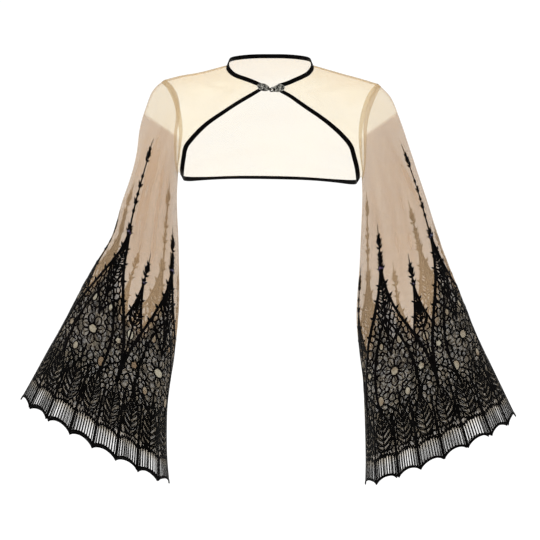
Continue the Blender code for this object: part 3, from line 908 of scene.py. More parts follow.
def studio_white(name):
    finish = Finish(name, roughness=0.9, emission_color=(1.0, 1.0, 1.0), emission_strength=0.45)
    grain = finish.smooth_step(finish.noise(2.0, 2.0), 0.2, 0.8)
    finish.set(base_color=finish.blend(grain, (0.86, 0.86, 0.86), (0.89, 0.89, 0.885)))
    return finish.material


# Embroidery

def read(table, height):
    heights, widths = zip(*table)
    return np.interp(height, heights, widths)


def curve_line(work, stem, low, high, width, lift=None, cut=False):
    heights = np.arange(low, high + 3.9, 4.0)
    heights[-1] = high
    work.line([(stem(height), height) for height in heights], width, lift, cut)


def spray(work, stem, half, low, high, gap, width, bow, seed):
    """Pairs of outlined leaves up a stem, reaching to both sides of its field."""
    jitter = np.random.default_rng(seed)
    height = low
    while height < high:
        reach = half(height) * work.cloth.width(height)
        rise = 0.95 * reach * jitter.uniform(0.85, 1.15)
        for side in (-1, 1):
            start = height + jitter.uniform(-1.2, 1.2)
            root = (stem(start), start)
            top = start + rise
            tip = (stem(top) + side * half(top) * 0.98, top)
            work.leaf(root, tip, bow * min(1.0, reach / 12.0), width, lean=-side * 0.12 * reach)
        height += gap * min(1.0, max(0.55, reach / 16.0)) * jitter.uniform(0.9, 1.1)


def in_field(around, height, first_peak):
    """True where the dense stitching is: below the slopes of the tall and the short peaks."""
    gap = np.abs(gap_round(around, first_peak, peak_spacing))
    tall = gap < read(TALL_PEAK, height)
    short = (0.5 * peak_spacing - gap) < read(SHORT_PEAK, height)
    return tall | (height < 222) | (short & (height < 300))


def in_leaf(around, height):
    """True inside the big leaves above the bars."""
    gap = np.abs(around % 1.0 - 0.5)
    return gap < read(BIG_LEAF, height) - 0.015


def lace_ground(work, width, seed):
    """Net of small uneven cells between the main forms, drawn closer round the blossoms and ovals."""
    cloth = work.cloth
    first_peak = SIDES[cloth.side]["first_peak"]
    jitter = np.random.default_rng(seed)
    spots = []
    height = 36.0
    row = 0
    while height < 360.0:
        wide = cloth.width(height)
        count = max(int(round(scallops * wide / 7.6)), 8)
        places = (np.arange(count) + 0.5 * (row % 2)) / count * scallops
        places += jitter.uniform(-1.7, 1.7, count) / wide
        heights = height + jitter.uniform(-2.6, 2.6, count)
        spots.append(np.column_stack([places, heights]))
        height += 11.6
        row += 1
    spots = np.concatenate(spots)
    for around, height, half_width, half_height in work.openings:
        wide = cloth.width(height)
        rings = ((5.6, 8.4), (19.5, 10.0)) if half_width > 10 else ((5.0, 8.0),)
        reach = rings[-1][0] + 4.5
        gap = gap_round(spots[:, 0], around) * wide
        far = np.hypot(gap / (half_width + reach), (spots[:, 1] - height) / (half_height + reach)) > 1
        spots = spots[far]
        for out, spacing in rings:
            count = max(int(2 * math.pi * (0.5 * (half_width + half_height) + out) / spacing), 6)
            angle = (np.arange(count) + 0.5 * (out > 10)) * 2 * math.pi / count
            ring = np.column_stack([around + (half_width + out) * np.cos(angle) / wide,
                                    height + (half_height + out) * np.sin(angle)])
            spots = np.concatenate([spots, ring])
    spots[:, 0] %= scallops
    before, after = spots[spots[:, 0] > scallops - 1], spots[spots[:, 0] < 1]
    every = np.concatenate([spots, before - (scallops, 0), after + (scallops, 0)])
    flat = [Vector((x * mean_scallop, y)) for x, y in every]
    points, _, faces = delaunay_2d_cdt(flat, [], [], 0, 0.001)[:3]
    corners = np.array(points)
    centres = np.array([corners[list(face)].mean(axis=0) for face in faces])
    shared = {}
    for k, face in enumerate(faces):
        for a, b in zip(face, face[1:] + face[:1]):
            shared.setdefault((min(a, b), max(a, b)), []).append(k)
    for pair in shared.values():
        if len(pair) < 2:
            continue
        ends = centres[pair] / (mean_scallop, 1.0)
        middle = ends.mean(axis=0)
        if not 0 <= middle[0] < scallops:
            continue
        if not all(in_field(x, y, first_peak) and 44 < y < 306 for x, y in ends) or in_leaf(*middle):
            continue
        if abs(ends[0] - ends[1]).max() < 0.01:
            continue
        reach = (ends[1] - ends[0]) * 0.06
        work.line([ends[0] - reach, middle, ends[1] + reach], width * jitter.uniform(0.8, 1.35))


def blossom(work, around, height, radius, petals, turn, width):
    """An open flower: rounded petals with a vein each."""
    wide = work.cloth.width(height)

    def spot(angle, out):
        return around + out * math.cos(angle) / wide, height + out * math.sin(angle)

    for k in range(petals):
        angle = turn + 2 * math.pi * k / petals
        half = math.pi / petals
        for side in (-1, 1):
            outline = []
            for share in np.linspace(0, 1, 10):
                spread = half * 0.94 * math.sin(math.pi * min(1.0, 0.12 + 0.95 * share)) ** 0.5
                outline.append(spot(angle + side * spread, radius * (0.26 + 0.74 * (share ** 0.8))))
            outline.append(spot(angle, radius * 1.02))
            work.line(outline, width, cut=False)
        work.line([spot(angle, 0.3 * radius), spot(angle, 0.72 * radius)], (width, width * 0.6), cut=False)


def bud_stem(work, around, low, high, knots):
    """A slender stem with knots, leaf pairs and a pointed bud."""
    def stem(height):
        return around

    curve_line(work, stem, low, high - 16, (3.2, 2.7, 2.3))
    work.line([(around, high - 20), (around, high)], (2.2, 1.2, 0.5))
    wide = work.cloth.width(high)
    work.filled((around, high - 38), (around, high - 15), 9.0, 1.2)
    for side in (-1, 1):
        work.filled((around, high - 42), (around + side * 6.6 / wide, high - 35), 3.6)
        work.filled((around, high - 32), (around + side * 6.6 / wide, high - 26), 3.4)
        work.filled((around, high - 22), (around + side * 4.2 / wide, high - 16), 2.8)
    for k, share in enumerate(knots):
        height = low + share * (high - 42 - low)
        wide = work.cloth.width(height)
        work.filled((around, height - 5), (around, height + 5), 6.0 if k % 2 else 7.6, 1.1)
        if k % 2 == 0:
            for side in (-1, 1):
                work.filled((around, height - 1), (around + side * 7.0 / wide, height + 6), 3.2)


def embroider_foot(work, fine, bold):
    """The bars above the scallops, the ribs and the big leaves between them."""
    for k in range(scallops):
        for bar in range(1, 9):
            share = bar / 9.0
            foot = scallop_edge(share) + 2.5
            top = 37.0 + 7.0 * math.sin(math.pi * share) + (2.5 if bar % 2 else -1.5)
            work.line([(k + share, foot), (k + share, top)], (2.1, 1.9, 2.1), cut=False)
        for bar in range(9):
            first, last = bar / 9.0, (bar + 1) / 9.0
            top = 39.0 + 7.0 * math.sin(math.pi * 0.5 * (first + last))
            work.leaf((k + first, top - 4), (k + 0.5 * (first + last), top + 5), 0.4, 1.7)
            work.leaf((k + last, top - 4), (k + 0.5 * (first + last), top + 5), 0.4, 1.7)
        rib_top = 128.0 if k % 2 else 112.0
        work.line([(k, 3.0), (k, 0.5 * rib_top), (k, rib_top)], (bold * 1.2, bold * 1.1, 3.4))
        centre = k + 0.5
        heights = np.linspace(44.0, 124.0, 22)
        for side in (-1, 1):
            work.line([(centre + side * read(BIG_LEAF, height), height) for height in heights],
                      (2.0, bold * 0.75, 2.4), cut=False)
            height = 52.0
            while height < 106.0:
                edge = height + 7.0 + 9.0 * (1 - abs(height - 78.0) / 40.0)
                tip = (centre + side * read(BIG_LEAF, edge) * 0.97, edge)
                work.leaf((centre, height), tip, 1.5, fine * 0.9, lean=-side * 1.2)
                height += 9.4
        work.line([(centre, 42.0), (centre, 90.0), (centre, 132.0)], (2.4, 2.8, 1.6))


def embroider_tall_peak(work, number, middle, fine, bold, beads):
    """Slopes, inner arch, flowers, leaf sprays and stem of one tall peak."""
    cloth = work.cloth
    for side in (-1, 1):
        def outer(height):
            return middle + side * read(TALL_PEAK, height)

        def arch(height):
            return middle + side * read(INNER_ARCH, height)

        curve_line(work, outer, 124.0, 358.0, (bold * 1.35, bold * 1.3, bold), 0.9)
        curve_line(work, arch, 108.0, 272.0, (bold * 1.15, bold * 1.05, bold * 0.8), 0.8)
        for height in (248.0, 276.0, 302.0, 326.0):
            wide = cloth.width(height)
            root = outer(height)
            work.filled((root, height), (root + side * 7.0 / wide, height + 6), 3.8)
            work.filled((root, height - 2), (root + side * 5.5 / wide, height - 4), 2.8)
        for low, high, start, end in ARCH_SWEEPS:
            share = np.linspace(0, 1, 9)
            sweep = start + (end - start) * share ** 1.6
            spots = np.column_stack([middle + side * sweep, low + (high - low) * share])
            work.line(spots, (bold, bold * 0.85, 2.4))

    def middle_line(height):
        return middle

    def upper_half(height):
        return 0.92 * read(TALL_PEAK, height)

    spray(work, middle_line, upper_half, 276.0, 332.0, 12.5, fine, 2.2, 500 + number)
    curve_line(work, middle_line, 118.0, 358.0, (3.4, 3.0), cut=True)
    tall = (520.0, 430.0, 505.0, 440.0)[number]
    bud_stem(work, middle, 356.0, tall, (0.02, 0.3, 0.42, 0.54, 0.66, 0.8))
    work.filled((middle, 344), (middle, 370), 9.5, 1.2)
    beads.append((middle, 356.0, 2.4))
    for side in (-1, 1):
        wide = cloth.width(356)
        work.filled((middle, 352), (middle + side * 9.5 / wide, 358), 4.0)
        work.filled((middle, 362), (middle + side * 7.0 / wide, 369), 3.2)
        beads.append((middle + side * 4.0 / wide, 354.0, 1.5))


def embroider_short_peak(work, number, valley, fine, bold, beads):
    """Slopes, leaves and stem of the short peak in a valley."""
    cloth = work.cloth

    def valley_line(height):
        return valley

    def short_half(height):
        return read(SHORT_PEAK, height)

    spray(work, valley_line, short_half, 224.0, 276.0, 11.0, fine, 2.0, 600 + number)
    curve_line(work, valley_line, 124.0, 300.0, (bold, bold * 0.8, 2.8))
    for side in (-1, 1):
        def short(height):
            return valley + side * read(SHORT_PEAK, height)

        curve_line(work, short, 220.0, 300.0, (bold * 0.85, bold * 0.8, bold * 0.7), 0.7)
        for height in (246.0, 270.0):
            wide = cloth.width(height)
            work.filled((short(height), height), (short(height) + side * 6.0 / wide, height + 5), 3.2)
    bud_stem(work, valley, 298.0, (372.0, 352.0, 378.0, 360.0)[number], (0.1, 0.6))
    beads.append((valley, 300.0, 1.6))


def embroider(cloth, fine, bold):
    """All the stitching of one sleeve, its plain ovals and the places of its beads."""
    work = Threadwork(cloth)
    beads = []
    ovals = []
    first = SIDES[cloth.side]["first_peak"]
    peaks = [first + peak_spacing * k for k in range(scallops // peak_spacing)]
    for middle in peaks:
        for offset, height, half_width, half_height in OVALS:
            ovals.append((middle + offset, height, half_width, half_height))
        for offset, height, radius, petals, turn in BLOSSOMS:
            blossom(work, middle + offset, height, radius, petals, turn, fine * 0.95)
            work.openings.append((middle + offset, height, radius, radius))
    work.openings += ovals
    embroider_foot(work, fine, bold)
    for number, middle in enumerate(peaks):
        embroider_tall_peak(work, number, middle, fine, bold, beads)
        embroider_short_peak(work, number, middle - peak_spacing / 2, fine, bold, beads)
    lace_ground(work, fine, 7)
    for around, height, half_width, half_height in ovals:
        angle = np.linspace(0, 2 * math.pi, 25)
        wide = cloth.width(height)
        rim = np.column_stack([around + half_width * np.cos(angle) / wide,
                               height + half_height * np.sin(angle)])
        work.line(rim, 2.1, 0.7, cut=False)
    return work, ovals, beads


# Settings that a user would change

def length(name, about, value, least, digits=4):
    return FloatProperty(name=name, description=about, default=value, min=least, unit="LENGTH",
                         precision=digits)


def colour(name, about, value):
    return FloatVectorProperty(name=name, description=about, default=value, subtype="COLOR", min=0, max=1)


class BoleroSizes(bpy.types.PropertyGroup):
    net_size: length("Net hole", "Distance between two holes of the tulle", 0.00125, 0.0004, 5)
    cloth: length("Cloth thickness", "Thickness of one layer of tulle", 0.0004, 0.0001, 5)
    binding: length("Binding width", "Width of the black tape", 0.0072, 0.002)
    binding_height: length("Binding thickness", "Thickness of the folded tape", 0.0023, 0.0005)
    cord: length("Hem cord", "Width of the corded edge of the sleeves", 0.0042, 0.001)
    fine_line: length("Fine stitching", "Width of the fine lines of the embroidery", 0.0024, 0.0005)
    bold_line: length("Bold stitching", "Width of the main lines of the embroidery", 0.0039, 0.001)
    floor_drop: length("Floor", "Height of the floor below the neck", 1.45, 0.8, 2)


class BoleroColours(bpy.types.PropertyGroup):
    # The sleeve and yoke tulle are one cloth in two tones: the darker sleeve tone is painted shade inside
    # the sleeves, the lighter yoke tone painted light on the fronts and the back.
    sleeve: colour("Sleeve tulle", "Colour of the tulle of the sleeves", (0.5, 0.335, 0.185))
    yoke: colour("Yoke tulle", "Colour of the tulle of the fronts and the back", (0.86, 0.7, 0.37))
    black: colour("Black", "Colour of the bindings and the thread", (0.0009, 0.0007, 0.0007))
    # The silver colour is that of the high places, polished by wear and brightened as painted highlight.
    silver: colour("Silver", "Colour of the clasp where it is rubbed bright", (0.44, 0.43, 0.385))
    bead: colour("Beads", "Colour of the glass beads", (0.035, 0.012, 0.06))


class BOLERO_OT_yoke(bpy.types.Operator):
    """The two fronts and the back of sheer tulle"""
    bl_idname = "bolero.yoke"
    bl_label = "Fronts and back"

    def execute(self, context):
        sizes, colours = context.scene.bolero_sizes, context.scene.bolero_colours
        # Painted light: the yoke tulle gets the lighter tone of the cloth.
        material = tulle("lit_yoke_tulle", tuple(colours.yoke), 0.145, sizes.net_size, marked=True)
        for name, net, node in (
            ("front_panel_right", front_net("right"), "front_right"),
            ("front_panel_left", front_net("left"), "front_left"),
            ("back_panel", back_net(), "back"),
        ):
            fine = finer(net, 4, 4)
            outward = net_normals(fine, False, body_centre)
            rows, columns = fine.shape[:2]
            down = np.linspace(0, 1, rows)[:, None]
            across = np.linspace(0, 1, columns)[None, :]
            inside = np.minimum(np.minimum(down, 1 - down), np.minimum(across, 1 - across))
            edges = np.minimum(1.0, 6 * inside)
            ripple = np.sin(26 * down + 5 * np.sin(3 * across)) * np.sin(7 * across + 3 * down)
            pull = np.exp(-((down - 0.2) / 0.16) ** 2) * np.sin(11 * across + 16 * down)
            fine = fine + outward * ((0.5 * ripple + 0.35 * pull) * edges)[..., None]
            piece = surface(name, fine, cloth_uv(fine), outward=outward)
            # Painted shade: the crease mask darkens the tulle along the shoulder seam and in the pulled
            # creases.
            painted_shoulder_shade = 0.85 * np.exp(-((down / 0.18) ** 2))
            crease = np.clip(0.3 * pull + 0.12 * ripple, 0, 1) * edges + painted_shoulder_shade
            paint_attribute(piece, "crease", crease)
            for mark in ("clear", "shadow", "pale"):
                paint_attribute(piece, mark, np.zeros(crease.shape))
            thicken(piece, sizes.cloth)
            dress(piece, material, [node])
        return {"FINISHED"}


class BOLERO_OT_sleeves(bpy.types.Operator):
    """The two bell sleeves of nude tulle"""
    bl_idname = "bolero.sleeves"
    bl_label = "Bell sleeves"

    def execute(self, context):
        sizes, colours = context.scene.bolero_sizes, context.scene.bolero_colours
        # Painted shade: the sleeve tulle gets the darker tone of the cloth.
        material = tulle("shaded_sleeve_tulle", tuple(colours.sleeve), 0.31, sizes.net_size, marked=True)
        for side in SIDES:
            cloth = CLOTHS[side]
            around = cloth.around
            share = np.linspace(0, 1, 161)[:, None]
            distances = cloth.full * (1 - share) + (scallop_edge(around) + 2.2) * share
            net = cloth.at(distances)
            outward = net_normals(net, True, net.mean(axis=1, keepdims=True))
            uv = cloth_uv(net, ring=True)
            piece = surface(f"bell_sleeve_{side}", net, uv, ring=True, outward=outward)
            places = np.broadcast_to(around, distances.shape)
            # Painted shade: the crease mask darkens the tulle along the soft folds and makes it denser.
            crease = 0.55 * cloth.crease(places, distances, 5.0)
            crease += 0.5 * cloth.crease(places - 0.3, distances, 11.0)
            hem = np.clip((52.0 - distances) / 24.0, 0, 1)
            above = net[..., 2] - 0.69 * (np.abs(net[..., 0]) - 152.0) + 131.0
            cap = np.clip(above / 7.0, 0, 1)
            cap = cap * np.clip((np.minimum(places, scallops - places) - 0.35) / 0.35 + cap, 0, 1)
            paint_attribute(piece, "crease", np.clip(crease, 0, 1))
            paint_attribute(piece, "clear", np.maximum(0.62 * hem, 0.42 * cap * cap * (3 - 2 * cap)))
            paint_attribute(piece, "pale", hem)
            # Painted shadow: the shadow mask fills the tall peaks and the field below about 240 mm, above
            # the bars.
            gap = np.abs(gap_round(places, SIDES[side]["first_peak"], peak_spacing))
            slope = np.maximum(read(TALL_PEAK, distances) - gap, 0.4 * (240.0 - distances) / 30.0)
            above_bars = np.clip((distances - 38.0) / 12.0, 0, 1)
            paint_attribute(piece, "shadow", np.clip(slope * 2.5, 0, 1) * above_bars)
            thicken(piece, sizes.cloth)
            dress(piece, material, [f"sleeve_{side}"])
        return {"FINISHED"}


class BOLERO_OT_seams(bpy.types.Operator):
    """The seams of the shoulders, the armholes, the underarms and the sleeves, of cloth laid double"""
    bl_idname = "bolero.seams"
    bl_label = "Seams"

    def execute(self, context):
        sizes, colours = context.scene.bolero_sizes, context.scene.bolero_colours
        # The seam tone mixes the painted shade of the sleeves with the painted light of the yoke.
        colour = tuple(0.75 * a + 0.25 * b for a, b in zip(colours.sleeve, colours.yoke))
        material = tulle("seam_tulle", colour, 0.4, sizes.net_size)
        profile = [(-2.9, 0.0), (-2.4, 0.5), (0.0, 0.7), (2.4, 0.5), (2.9, 0.0), (2.4, -0.5), (0.0, -0.7),
                   (-2.4, -0.5)]
        for side in SIDES:
            cloth = CLOTHS[side]
            made = []
            heights = cloth.full - 2.6
            ring = cloth.at(heights[None, :])[0]
            upper = cloth.at((cloth.full - 0.2)[None, :])[0]
            lower = cloth.at((cloth.full - 6.0)[None, :])[0]
            line = np.concatenate([ring, ring[:1]])
            down = unit(lower - upper)
            down = np.concatenate([down, down[:1]])
            along = unit(np.gradient(line, axis=0))
            normals = unit(np.cross(along, down))
            broad = [(1.5 * a, b) for a, b in profile]
            made.append(swept_band(line, down, normals, broad, "armhole"))
            front = finer(front_net(side), 4, 5)
            forward = unit(front[1] - front[0])
            lift = net_normals(front, False, body_centre)[0]
            flat = [(3.0 + 1.3 * a, b) for a, b in profile]
            made.append(swept_band(front[0], forward, lift, flat, "shoulder"))
            spots = np.column_stack([np.full(120, 8.0), np.linspace(12.0, cloth.full[96] - 6.0, 120)])
            seam, lift = cloth.place(spots)
            across = unit(np.cross(lift, unit(np.gradient(seam, axis=0))))
            narrow = [(0.7 * a, 0.8 * b) for a, b in profile]
            made.append(swept_band(seam, across, lift, narrow, "underarm"))
            piece = joined(made, f"seams_{side}")
            fix_faces(piece)
            dress(piece, material)
        return {"FINISHED"}


class BOLERO_OT_bindings(bpy.types.Operator):
    """The black tape round the neck, and along the front edges and the back hem"""
    bl_idname = "bolero.bindings"
    bl_label = "Bindings"

    def execute(self, context):
        sizes, colours = context.scene.bolero_sizes, context.scene.bolero_colours
        material = black_tape("black_binding_tape", tuple(colours.black))
        width = sizes.binding / MM
        half = 0.5 * sizes.binding_height / MM
        angle = np.linspace(0, 2 * math.pi, 18, endpoint=False)
        across = 0.5 * (width + 0.8) * np.sign(np.cos(angle)) * np.abs(np.cos(angle)) ** 0.55
        rise = half * np.sign(np.sin(angle)) * np.abs(np.sin(angle)) ** 0.75
        profile = list(zip(0.5 * width + seam_gap - across, rise))
        for name in ("neck", "edge"):
            edge, away, normals = binding_lines(name)
            if name == "edge":
                tucked = 7.0 * unit(edge[[0, -1]] - edge[[2, -3]])
                edge = np.concatenate([edge[:1] + tucked[:1], edge, edge[-1:] + tucked[1:]])
                away = np.concatenate([away[:1], away, away[-1:]])
                normals = np.concatenate([normals[:1], normals, normals[-1:]])
            piece = swept_band(edge, away, normals, profile, f"{name}_tape")
            fix_faces(piece)
            dress(piece, material, [f"{name}_binding"])
            self.stitch(name, edge, away, normals, half, material)
        return {"FINISHED"}

    def stitch(self, name, edge, away, normals, half, material):
        """A row of machine stitches near the folded edge."""
        run = run_along(edge)
        made = []
        for start in np.arange(2.0, run[-1] - 4.0, 3.4):
            places = np.array([start, start + 1.2, start + 2.4])
            line, out, up = (np.column_stack([np.interp(places, run, values[:, k]) for k in range(3)])
                             for values in (edge, away, normals))
            rise = np.array([0.78, 1.02, 0.78])[:, None] * half
            middle = line + out * 1.3 + up * rise
            broad, high = out * 0.28, up * 0.26
            made.append(np.stack([middle + broad, middle + high, middle - broad, middle - high], axis=1))
        vertices = np.concatenate(made)
        faces = []
        for k in range(len(made)):
            base = 12 * k
            for row in (0, 4):
                for a in range(4):
                    b = (a + 1) % 4
                    faces.append((base + row + a, base + row + b, base + row + b + 4, base + row + a + 4))
            faces.append((base + 3, base + 2, base + 1, base))
            faces.append((base + 8, base + 9, base + 10, base + 11))
        piece = make_piece(f"{name}_stitches", vertices, faces, smooth=False)
        piece.data.uv_layers.new(name="cloth")
        fix_faces(piece)
        dress(piece, material)


class BOLERO_OT_hem_cords(bpy.types.Operator):
    """The wrapped cord along the scallops of each sleeve"""
    bl_idname = "bolero.hem_cords"
    bl_label = "Hem cords"

    def execute(self, context):
        sizes, colours = context.scene.bolero_sizes, context.scene.bolero_colours
        material = corded_edge("black_hem_cord", tuple(colours.black))
        half = 0.5 * sizes.cord / MM
        angle = np.linspace(0, 2 * math.pi, 10, endpoint=False)
        for side in SIDES:
            cloth = CLOTHS[side]
            around = np.linspace(0, scallops, 320, endpoint=False)
            heights = scallop_edge(around) + half + 0.1
            line, normals = cloth.place(np.column_stack([around, heights]))
            along = unit(np.roll(line, -1, axis=0) - np.roll(line, 1, axis=0))
            across = unit(np.cross(normals, along))
            rings = np.stack([
                line + across * half * math.cos(a) + normals * 0.62 * half * math.sin(a) for a in angle
            ], axis=1)
            piece = tube(f"hem_cord_{side}", rings, np.arange(len(line) + 1) * 0.25)
            dress(piece, material, [f"scallop_cord_{side}"])
        return {"FINISHED"}


class BOLERO_OT_embroidery(bpy.types.Operator):
    """The stitched leaves, ribs and budded stems of the sleeves, with their ovals and beads"""
    bl_idname = "bolero.embroidery"
    bl_label = "Embroidery"

    def execute(self, context):
        sizes, colours = context.scene.bolero_sizes, context.scene.bolero_colours
        thread = satin_thread("black_satin_thread", tuple(colours.black))
        patch_cloth = tulle("oval_cloth", (0.42, 0.39, 0.3), 0.68, sizes.net_size, dark=(0.22, 0.14, 0.07))
        glass = dark_glass("dark_glass_beads", tuple(colours.bead))
        for side in SIDES:
            cloth = CLOTHS[side]
            work, ovals, beads = embroider(cloth, sizes.fine_line / MM, sizes.bold_line / MM)
            work.piece(f"embroidery_{side}", thread, "black_cord")
            fill = Threadwork(cloth, 1.5)
            for around, height, half_width, half_height in ovals:
                strips = int(half_width / 1.1)
                for share in (2 * np.arange(strips) + 1) / strips - 1:
                    place = around + half_width * share / cloth.width(height)
                    reach = half_height * math.sqrt(1 - share ** 2)
                    strip = [(place, height - reach), (place, height + reach)]
                    fill.line(strip, 2.1 * half_width / strips, 0.45)
            fill.piece(f"ovals_{side}", patch_cloth, "nude_tulle")
            self.beadwork(side, cloth, beads, glass)
        return {"FINISHED"}

    def beadwork(self, side, cloth, beads, glass):
        """One bead, copied to every place."""
        bpy.ops.mesh.primitive_uv_sphere_add(segments=10, ring_count=7, radius=MM)
        ball = bpy.context.active_object
        shape = np.array([vertex.co for vertex in ball.data.vertices]) / MM
        faces = [list(face.vertices) for face in ball.data.polygons]
        bpy.data.objects.remove(ball, do_unlink=True)
        spots = np.array([(around, height) for around, height, _ in beads], float)
        sizes = np.array([size for _, _, size in beads])
        places, normals = cloth.place(spots)
        middles = places + normals * (0.4 + 0.6 * sizes)[:, None]
        vertices = middles[:, None] + shape[None] * sizes[:, None, None]
        all_faces = [[v + k * len(shape) for v in face] for k in range(len(beads)) for face in faces]
        dress(make_piece(f"beads_{side}", vertices, all_faces), glass)


class BOLERO_OT_clasp(bpy.types.Operator):
    """The two halves of the old silver clasp"""
    bl_idname = "bolero.clasp"
    bl_label = "Clasp"

    def execute(self, context):
        colours = context.scene.bolero_colours
        silver = old_silver("old_silver", tuple(colours.silver))
        for name, side in (("clasp_hook", -1), ("clasp_eye", 1)):
            first, last = clasp_ends[name]
            long = last - first
            outline = PLATE_RIM + [(x, -z) for x, z in PLATE_RIM[-2::-1]]
            rim = smooth_line([(first + long * x, z) for x, z in outline], 56)
            pieces = [self.plate(rim[:-1], side), self.wire(rim, 0.7, -0.75, side, loop=True)]
            for sign in (-1, 1):
                for x, z, size, turn, radius in SCROLLS:
                    spiral = self.scroll((first + x * long, z * sign), size, turn * sign)
                    pieces.append(self.wire(spiral, radius, -1.0, side))
                tail = [(0.8, 0.3), (0.84, 1.5), (0.8, 2.7), (0.72, 3.4)]
                pieces.append(self.wire([(first + long * x, z * sign) for x, z in tail], 0.4, -1.0, side))
            for x, z, size in GRAINS:
                pieces.append(self.grain(first + long * x, z, size, side))
            if side < 0:
                pieces.append(self.bar(smooth_line(TONGUE, 26), side))
            else:
                angle = np.linspace(0, 2 * math.pi, 33)
                eye = np.column_stack([eye_hole_centre + 2.95 * np.cos(angle), 2.95 * np.sin(angle)])
                pieces.append(self.wire(eye, 1.0, 0.0, side, loop=True))
                for sign in (-1, 1):
                    arm = [(3.4, 3.4 * sign), (5.2, 4.2 * sign), (7.0, 3.6 * sign), (7.6, 2.2 * sign)]
                    pieces.append(self.wire(arm, 0.5, -0.7, side))
            piece = joined(pieces, f"{name}_filigree")
            fix_faces(piece)
            # Painted highlight: the further a part stands out to the front, the brighter its silver, partly
            # as wear; the tongue is held at 0.45.
            depth = np.array([vertex.co[1] for vertex in piece.data.vertices]) / MM - clasp_centre[1]
            rubbed_and_highlit = np.where(depth < -1.8, 0.45, np.clip((-depth - 0.6) / 0.9, 0, 1))
            paint_attribute(piece, "rubbed_and_highlit", rubbed_and_highlit)
            hole = Matrix.Translation((clasp_centre + (eye_hole_centre, 0.0, 0.0)) * MM)
            turn = Matrix.Rotation(math.radians(clasp_tilt[name]), 4, "Y")
            piece.data.transform(hole @ turn @ hole.inverted())
            only(piece)
            bpy.ops.object.shade_smooth()
            dress(piece, silver, [name])
        return {"FINISHED"}

    def plate(self, rim, side):
        """The back plate: a disc drawn out to the rim, inset and thickened."""
        bpy.ops.mesh.primitive_circle_add(vertices=len(rim), radius=0.01, fill_type="NGON")
        piece = bpy.context.active_object
        for vertex, (x, z) in zip(piece.data.vertices, rim):
            vertex.co = (clasp_centre + np.array([side * x, 0.55, z])) * MM
        bpy.ops.object.mode_set(mode="EDIT")
        bpy.ops.mesh.select_all(action="SELECT")
        bpy.ops.mesh.inset(thickness=0.0009)
        bpy.ops.mesh.select_all(action="SELECT")
        bpy.ops.mesh.extrude_region_move(TRANSFORM_OT_translate={"value": (0, -0.0011, 0)})
        bpy.ops.mesh.select_all(action="SELECT")
        bpy.ops.mesh.normals_make_consistent(inside=False)
        bpy.ops.object.mode_set(mode="OBJECT")
        return piece

    def wire(self, points, radius, depth, side, loop=False):
        """Drawn wire along a line of the plate."""
        points = np.array(points, float)
        if not loop:
            points = smooth_line(points, max(10, 3 * len(points)))
        space = np.column_stack([side * points[:, 0], np.full(len(points), depth), points[:, 1]])
        space += clasp_centre
        return self.drawn(space[:-1] if loop else space, radius, loop)

    def scroll(self, centre, size, sign):
        """A flat spiral."""
        angle = np.linspace(0, 2.2 * math.pi, 26)
        radius = size * (1 - 0.72 * angle / angle[-1])
        return [(centre[0] + r * math.cos(a * sign + 0.6), centre[1] + r * math.sin(a * sign + 0.6))
                for a, r in zip(angle, radius)]

    def drawn(self, points, radius, loop):
        curve = bpy.data.curves.new("wire", "CURVE")
        curve.dimensions = "3D"
        curve.bevel_depth = radius * MM
        curve.bevel_resolution = 2
        curve.use_fill_caps = True
        spline = curve.splines.new("POLY")
        spline.points.add(len(points) - 1)
        for spot, point in zip(spline.points, points):
            spot.co = (*(point * MM), 1.0)
        spline.use_cyclic_u = loop
        only(place_piece("wire", curve))
        bpy.ops.object.convert(target="MESH")
        return bpy.context.active_object

    def bar(self, path, side):
        """The flat tongue of the hook."""
        x = side * path[:, 0]
        middle = np.column_stack([x, path[:, 2], path[:, 1]]) + clasp_centre
        along = unit(np.gradient(middle, axis=0))
        across = np.tile([0.0, 0.0, 1.0], (len(path), 1))
        lift = unit(np.cross(along, across))
        taper = np.interp(path[:, 0], (-2.6, 0.5, 3.5, 7.4), (0.5, 0.85, 1.35, 1.6))[:, None]
        angle = np.linspace(0, 2 * math.pi, 12, endpoint=False)
        rings = np.stack([
            middle + across * taper * 1.9 * math.cos(a) + lift * 0.6 * math.sin(a) for a in angle
        ], axis=1)
        return tube("tongue", rings, run_along(middle) / 10.0, capped=True)

    def grain(self, x, z, size, side):
        """A soldered grain."""
        place = (clasp_centre + np.array([side * x, -0.75, z])) * MM
        bpy.ops.mesh.primitive_uv_sphere_add(segments=12, ring_count=8, radius=size * MM,
                                             location=place.tolist())
        bpy.ops.object.transform_apply(location=True, rotation=True, scale=True)
        return bpy.context.active_object


class BOLERO_OT_declare(bpy.types.Operator):
    """Does nothing; no pieces or sizes are declared here"""
    bl_idname = "bolero.declare"
    bl_label = "Cloth sizes"

    def execute(self, context):
        return {"FINISHED"}


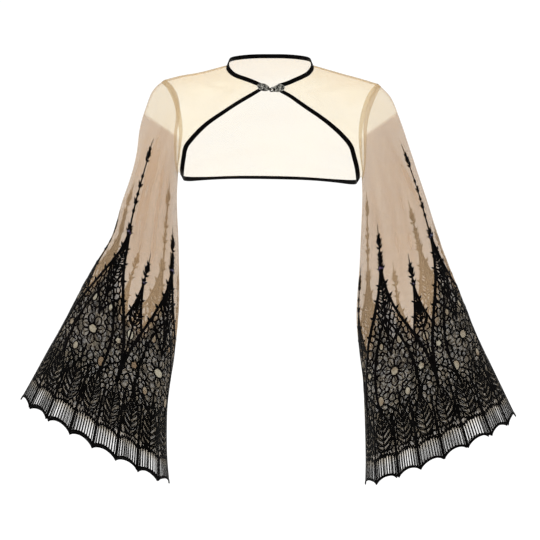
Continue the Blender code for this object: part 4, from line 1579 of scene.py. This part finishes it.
class BOLERO_OT_stage(bpy.types.Operator):
    """The pale floor, the soft lights and the camera"""
    bl_idname = "bolero.stage"
    bl_label = "Stage"

    def execute(self, context):
        scene = context.scene
        bpy.ops.mesh.primitive_plane_add(size=80, location=(0, 0, -scene.bolero_sizes.floor_drop))
        floor = context.active_object
        floor.name = "floor"
        bpy.ops.object.transform_apply(location=True, rotation=True, scale=True)
        floor.data.materials.append(studio_white("studio_white"))
        world = bpy.data.worlds.new("studio")
        scene.world = world
        world.use_nodes = True
        nodes, links = world.node_tree.nodes, world.node_tree.links
        seen = nodes.new("ShaderNodeLightPath")
        strength = nodes.new("ShaderNodeMapRange")
        strength.inputs["To Min"].default_value = 0.78
        strength.inputs["To Max"].default_value = 1.05
        links.new(seen.outputs["Is Camera Ray"], strength.inputs["Value"])
        background = nodes["Background"]
        background.inputs["Color"].default_value = (1.0, 1.0, 1.0, 1.0)
        links.new(strength.outputs[0], background.inputs["Strength"])
        for name, place, turn, size, power in (
            ("key_light", (-1.9, -2.6, 1.2), (62, 0, -36), 1.6, 26.0),
            ("fill_light", (2.4, -2.4, 0.2), (84, 0, 45), 2.0, 14.0),
            ("top_light", (0.0, 0.4, 2.4), (-8, 0, 0), 1.6, 12.0),
        ):
            bpy.ops.object.light_add(type="AREA", location=place, rotation=[math.radians(a) for a in turn])
            lamp = context.active_object
            lamp.name = name
            lamp.data.size = size
            lamp.data.energy = power
            lamp.visible_camera = False
        distance, view_width, view_middle = 7.0, 0.929, -0.351
        bpy.ops.object.camera_add(location=(0.0, -distance, view_middle), rotation=(math.radians(90), 0, 0))
        camera = context.active_object
        camera.name = "camera"
        camera.data.sensor_width = 36.0
        camera.data.lens = camera.data.sensor_width * distance / view_width
        camera.data.clip_end = 200.0
        scene.camera = camera
        scene.view_settings.view_transform = "Standard"
        scene.cycles.transparent_max_bounces = 32
        return {"FINISHED"}


class BOLERO_PT_panel(bpy.types.Panel):
    """Pieces, sizes and colours of the bolero jacket"""
    bl_idname = "BOLERO_PT_panel"
    bl_label = "Bolero jacket"
    bl_space_type = "VIEW_3D"
    bl_region_type = "UI"
    bl_category = "Bolero"

    def draw(self, context):
        for group in (context.scene.bolero_sizes, context.scene.bolero_colours):
            box = self.layout.box()
            for name in group.__annotations__:
                box.prop(group, name)
        for step in STEPS:
            self.layout.operator(step.bl_idname)


STEPS = (BOLERO_OT_yoke, BOLERO_OT_sleeves, BOLERO_OT_seams, BOLERO_OT_bindings, BOLERO_OT_hem_cords,
         BOLERO_OT_embroidery, BOLERO_OT_clasp, BOLERO_OT_declare, BOLERO_OT_stage)
CLASSES = (BoleroSizes, BoleroColours, *STEPS, BOLERO_PT_panel)
CLOTHS = {side: SleeveCloth(side) for side in SIDES}


def register():
    for item in CLASSES:
        bpy.utils.register_class(item)
    bpy.types.Scene.bolero_sizes = PointerProperty(type=BoleroSizes)
    bpy.types.Scene.bolero_colours = PointerProperty(type=BoleroColours)


def unregister():
    del bpy.types.Scene.bolero_colours
    del bpy.types.Scene.bolero_sizes
    for item in reversed(CLASSES):
        bpy.utils.unregister_class(item)


def main():
    register()
    bpy.ops.bolero.yoke()
    bpy.ops.bolero.sleeves()
    bpy.ops.bolero.seams()
    bpy.ops.bolero.bindings()
    bpy.ops.bolero.hem_cords()
    bpy.ops.bolero.embroidery()
    bpy.ops.bolero.clasp()
    bpy.ops.bolero.declare()
    bpy.ops.bolero.stage()


if __name__ == "__main__":
    main()
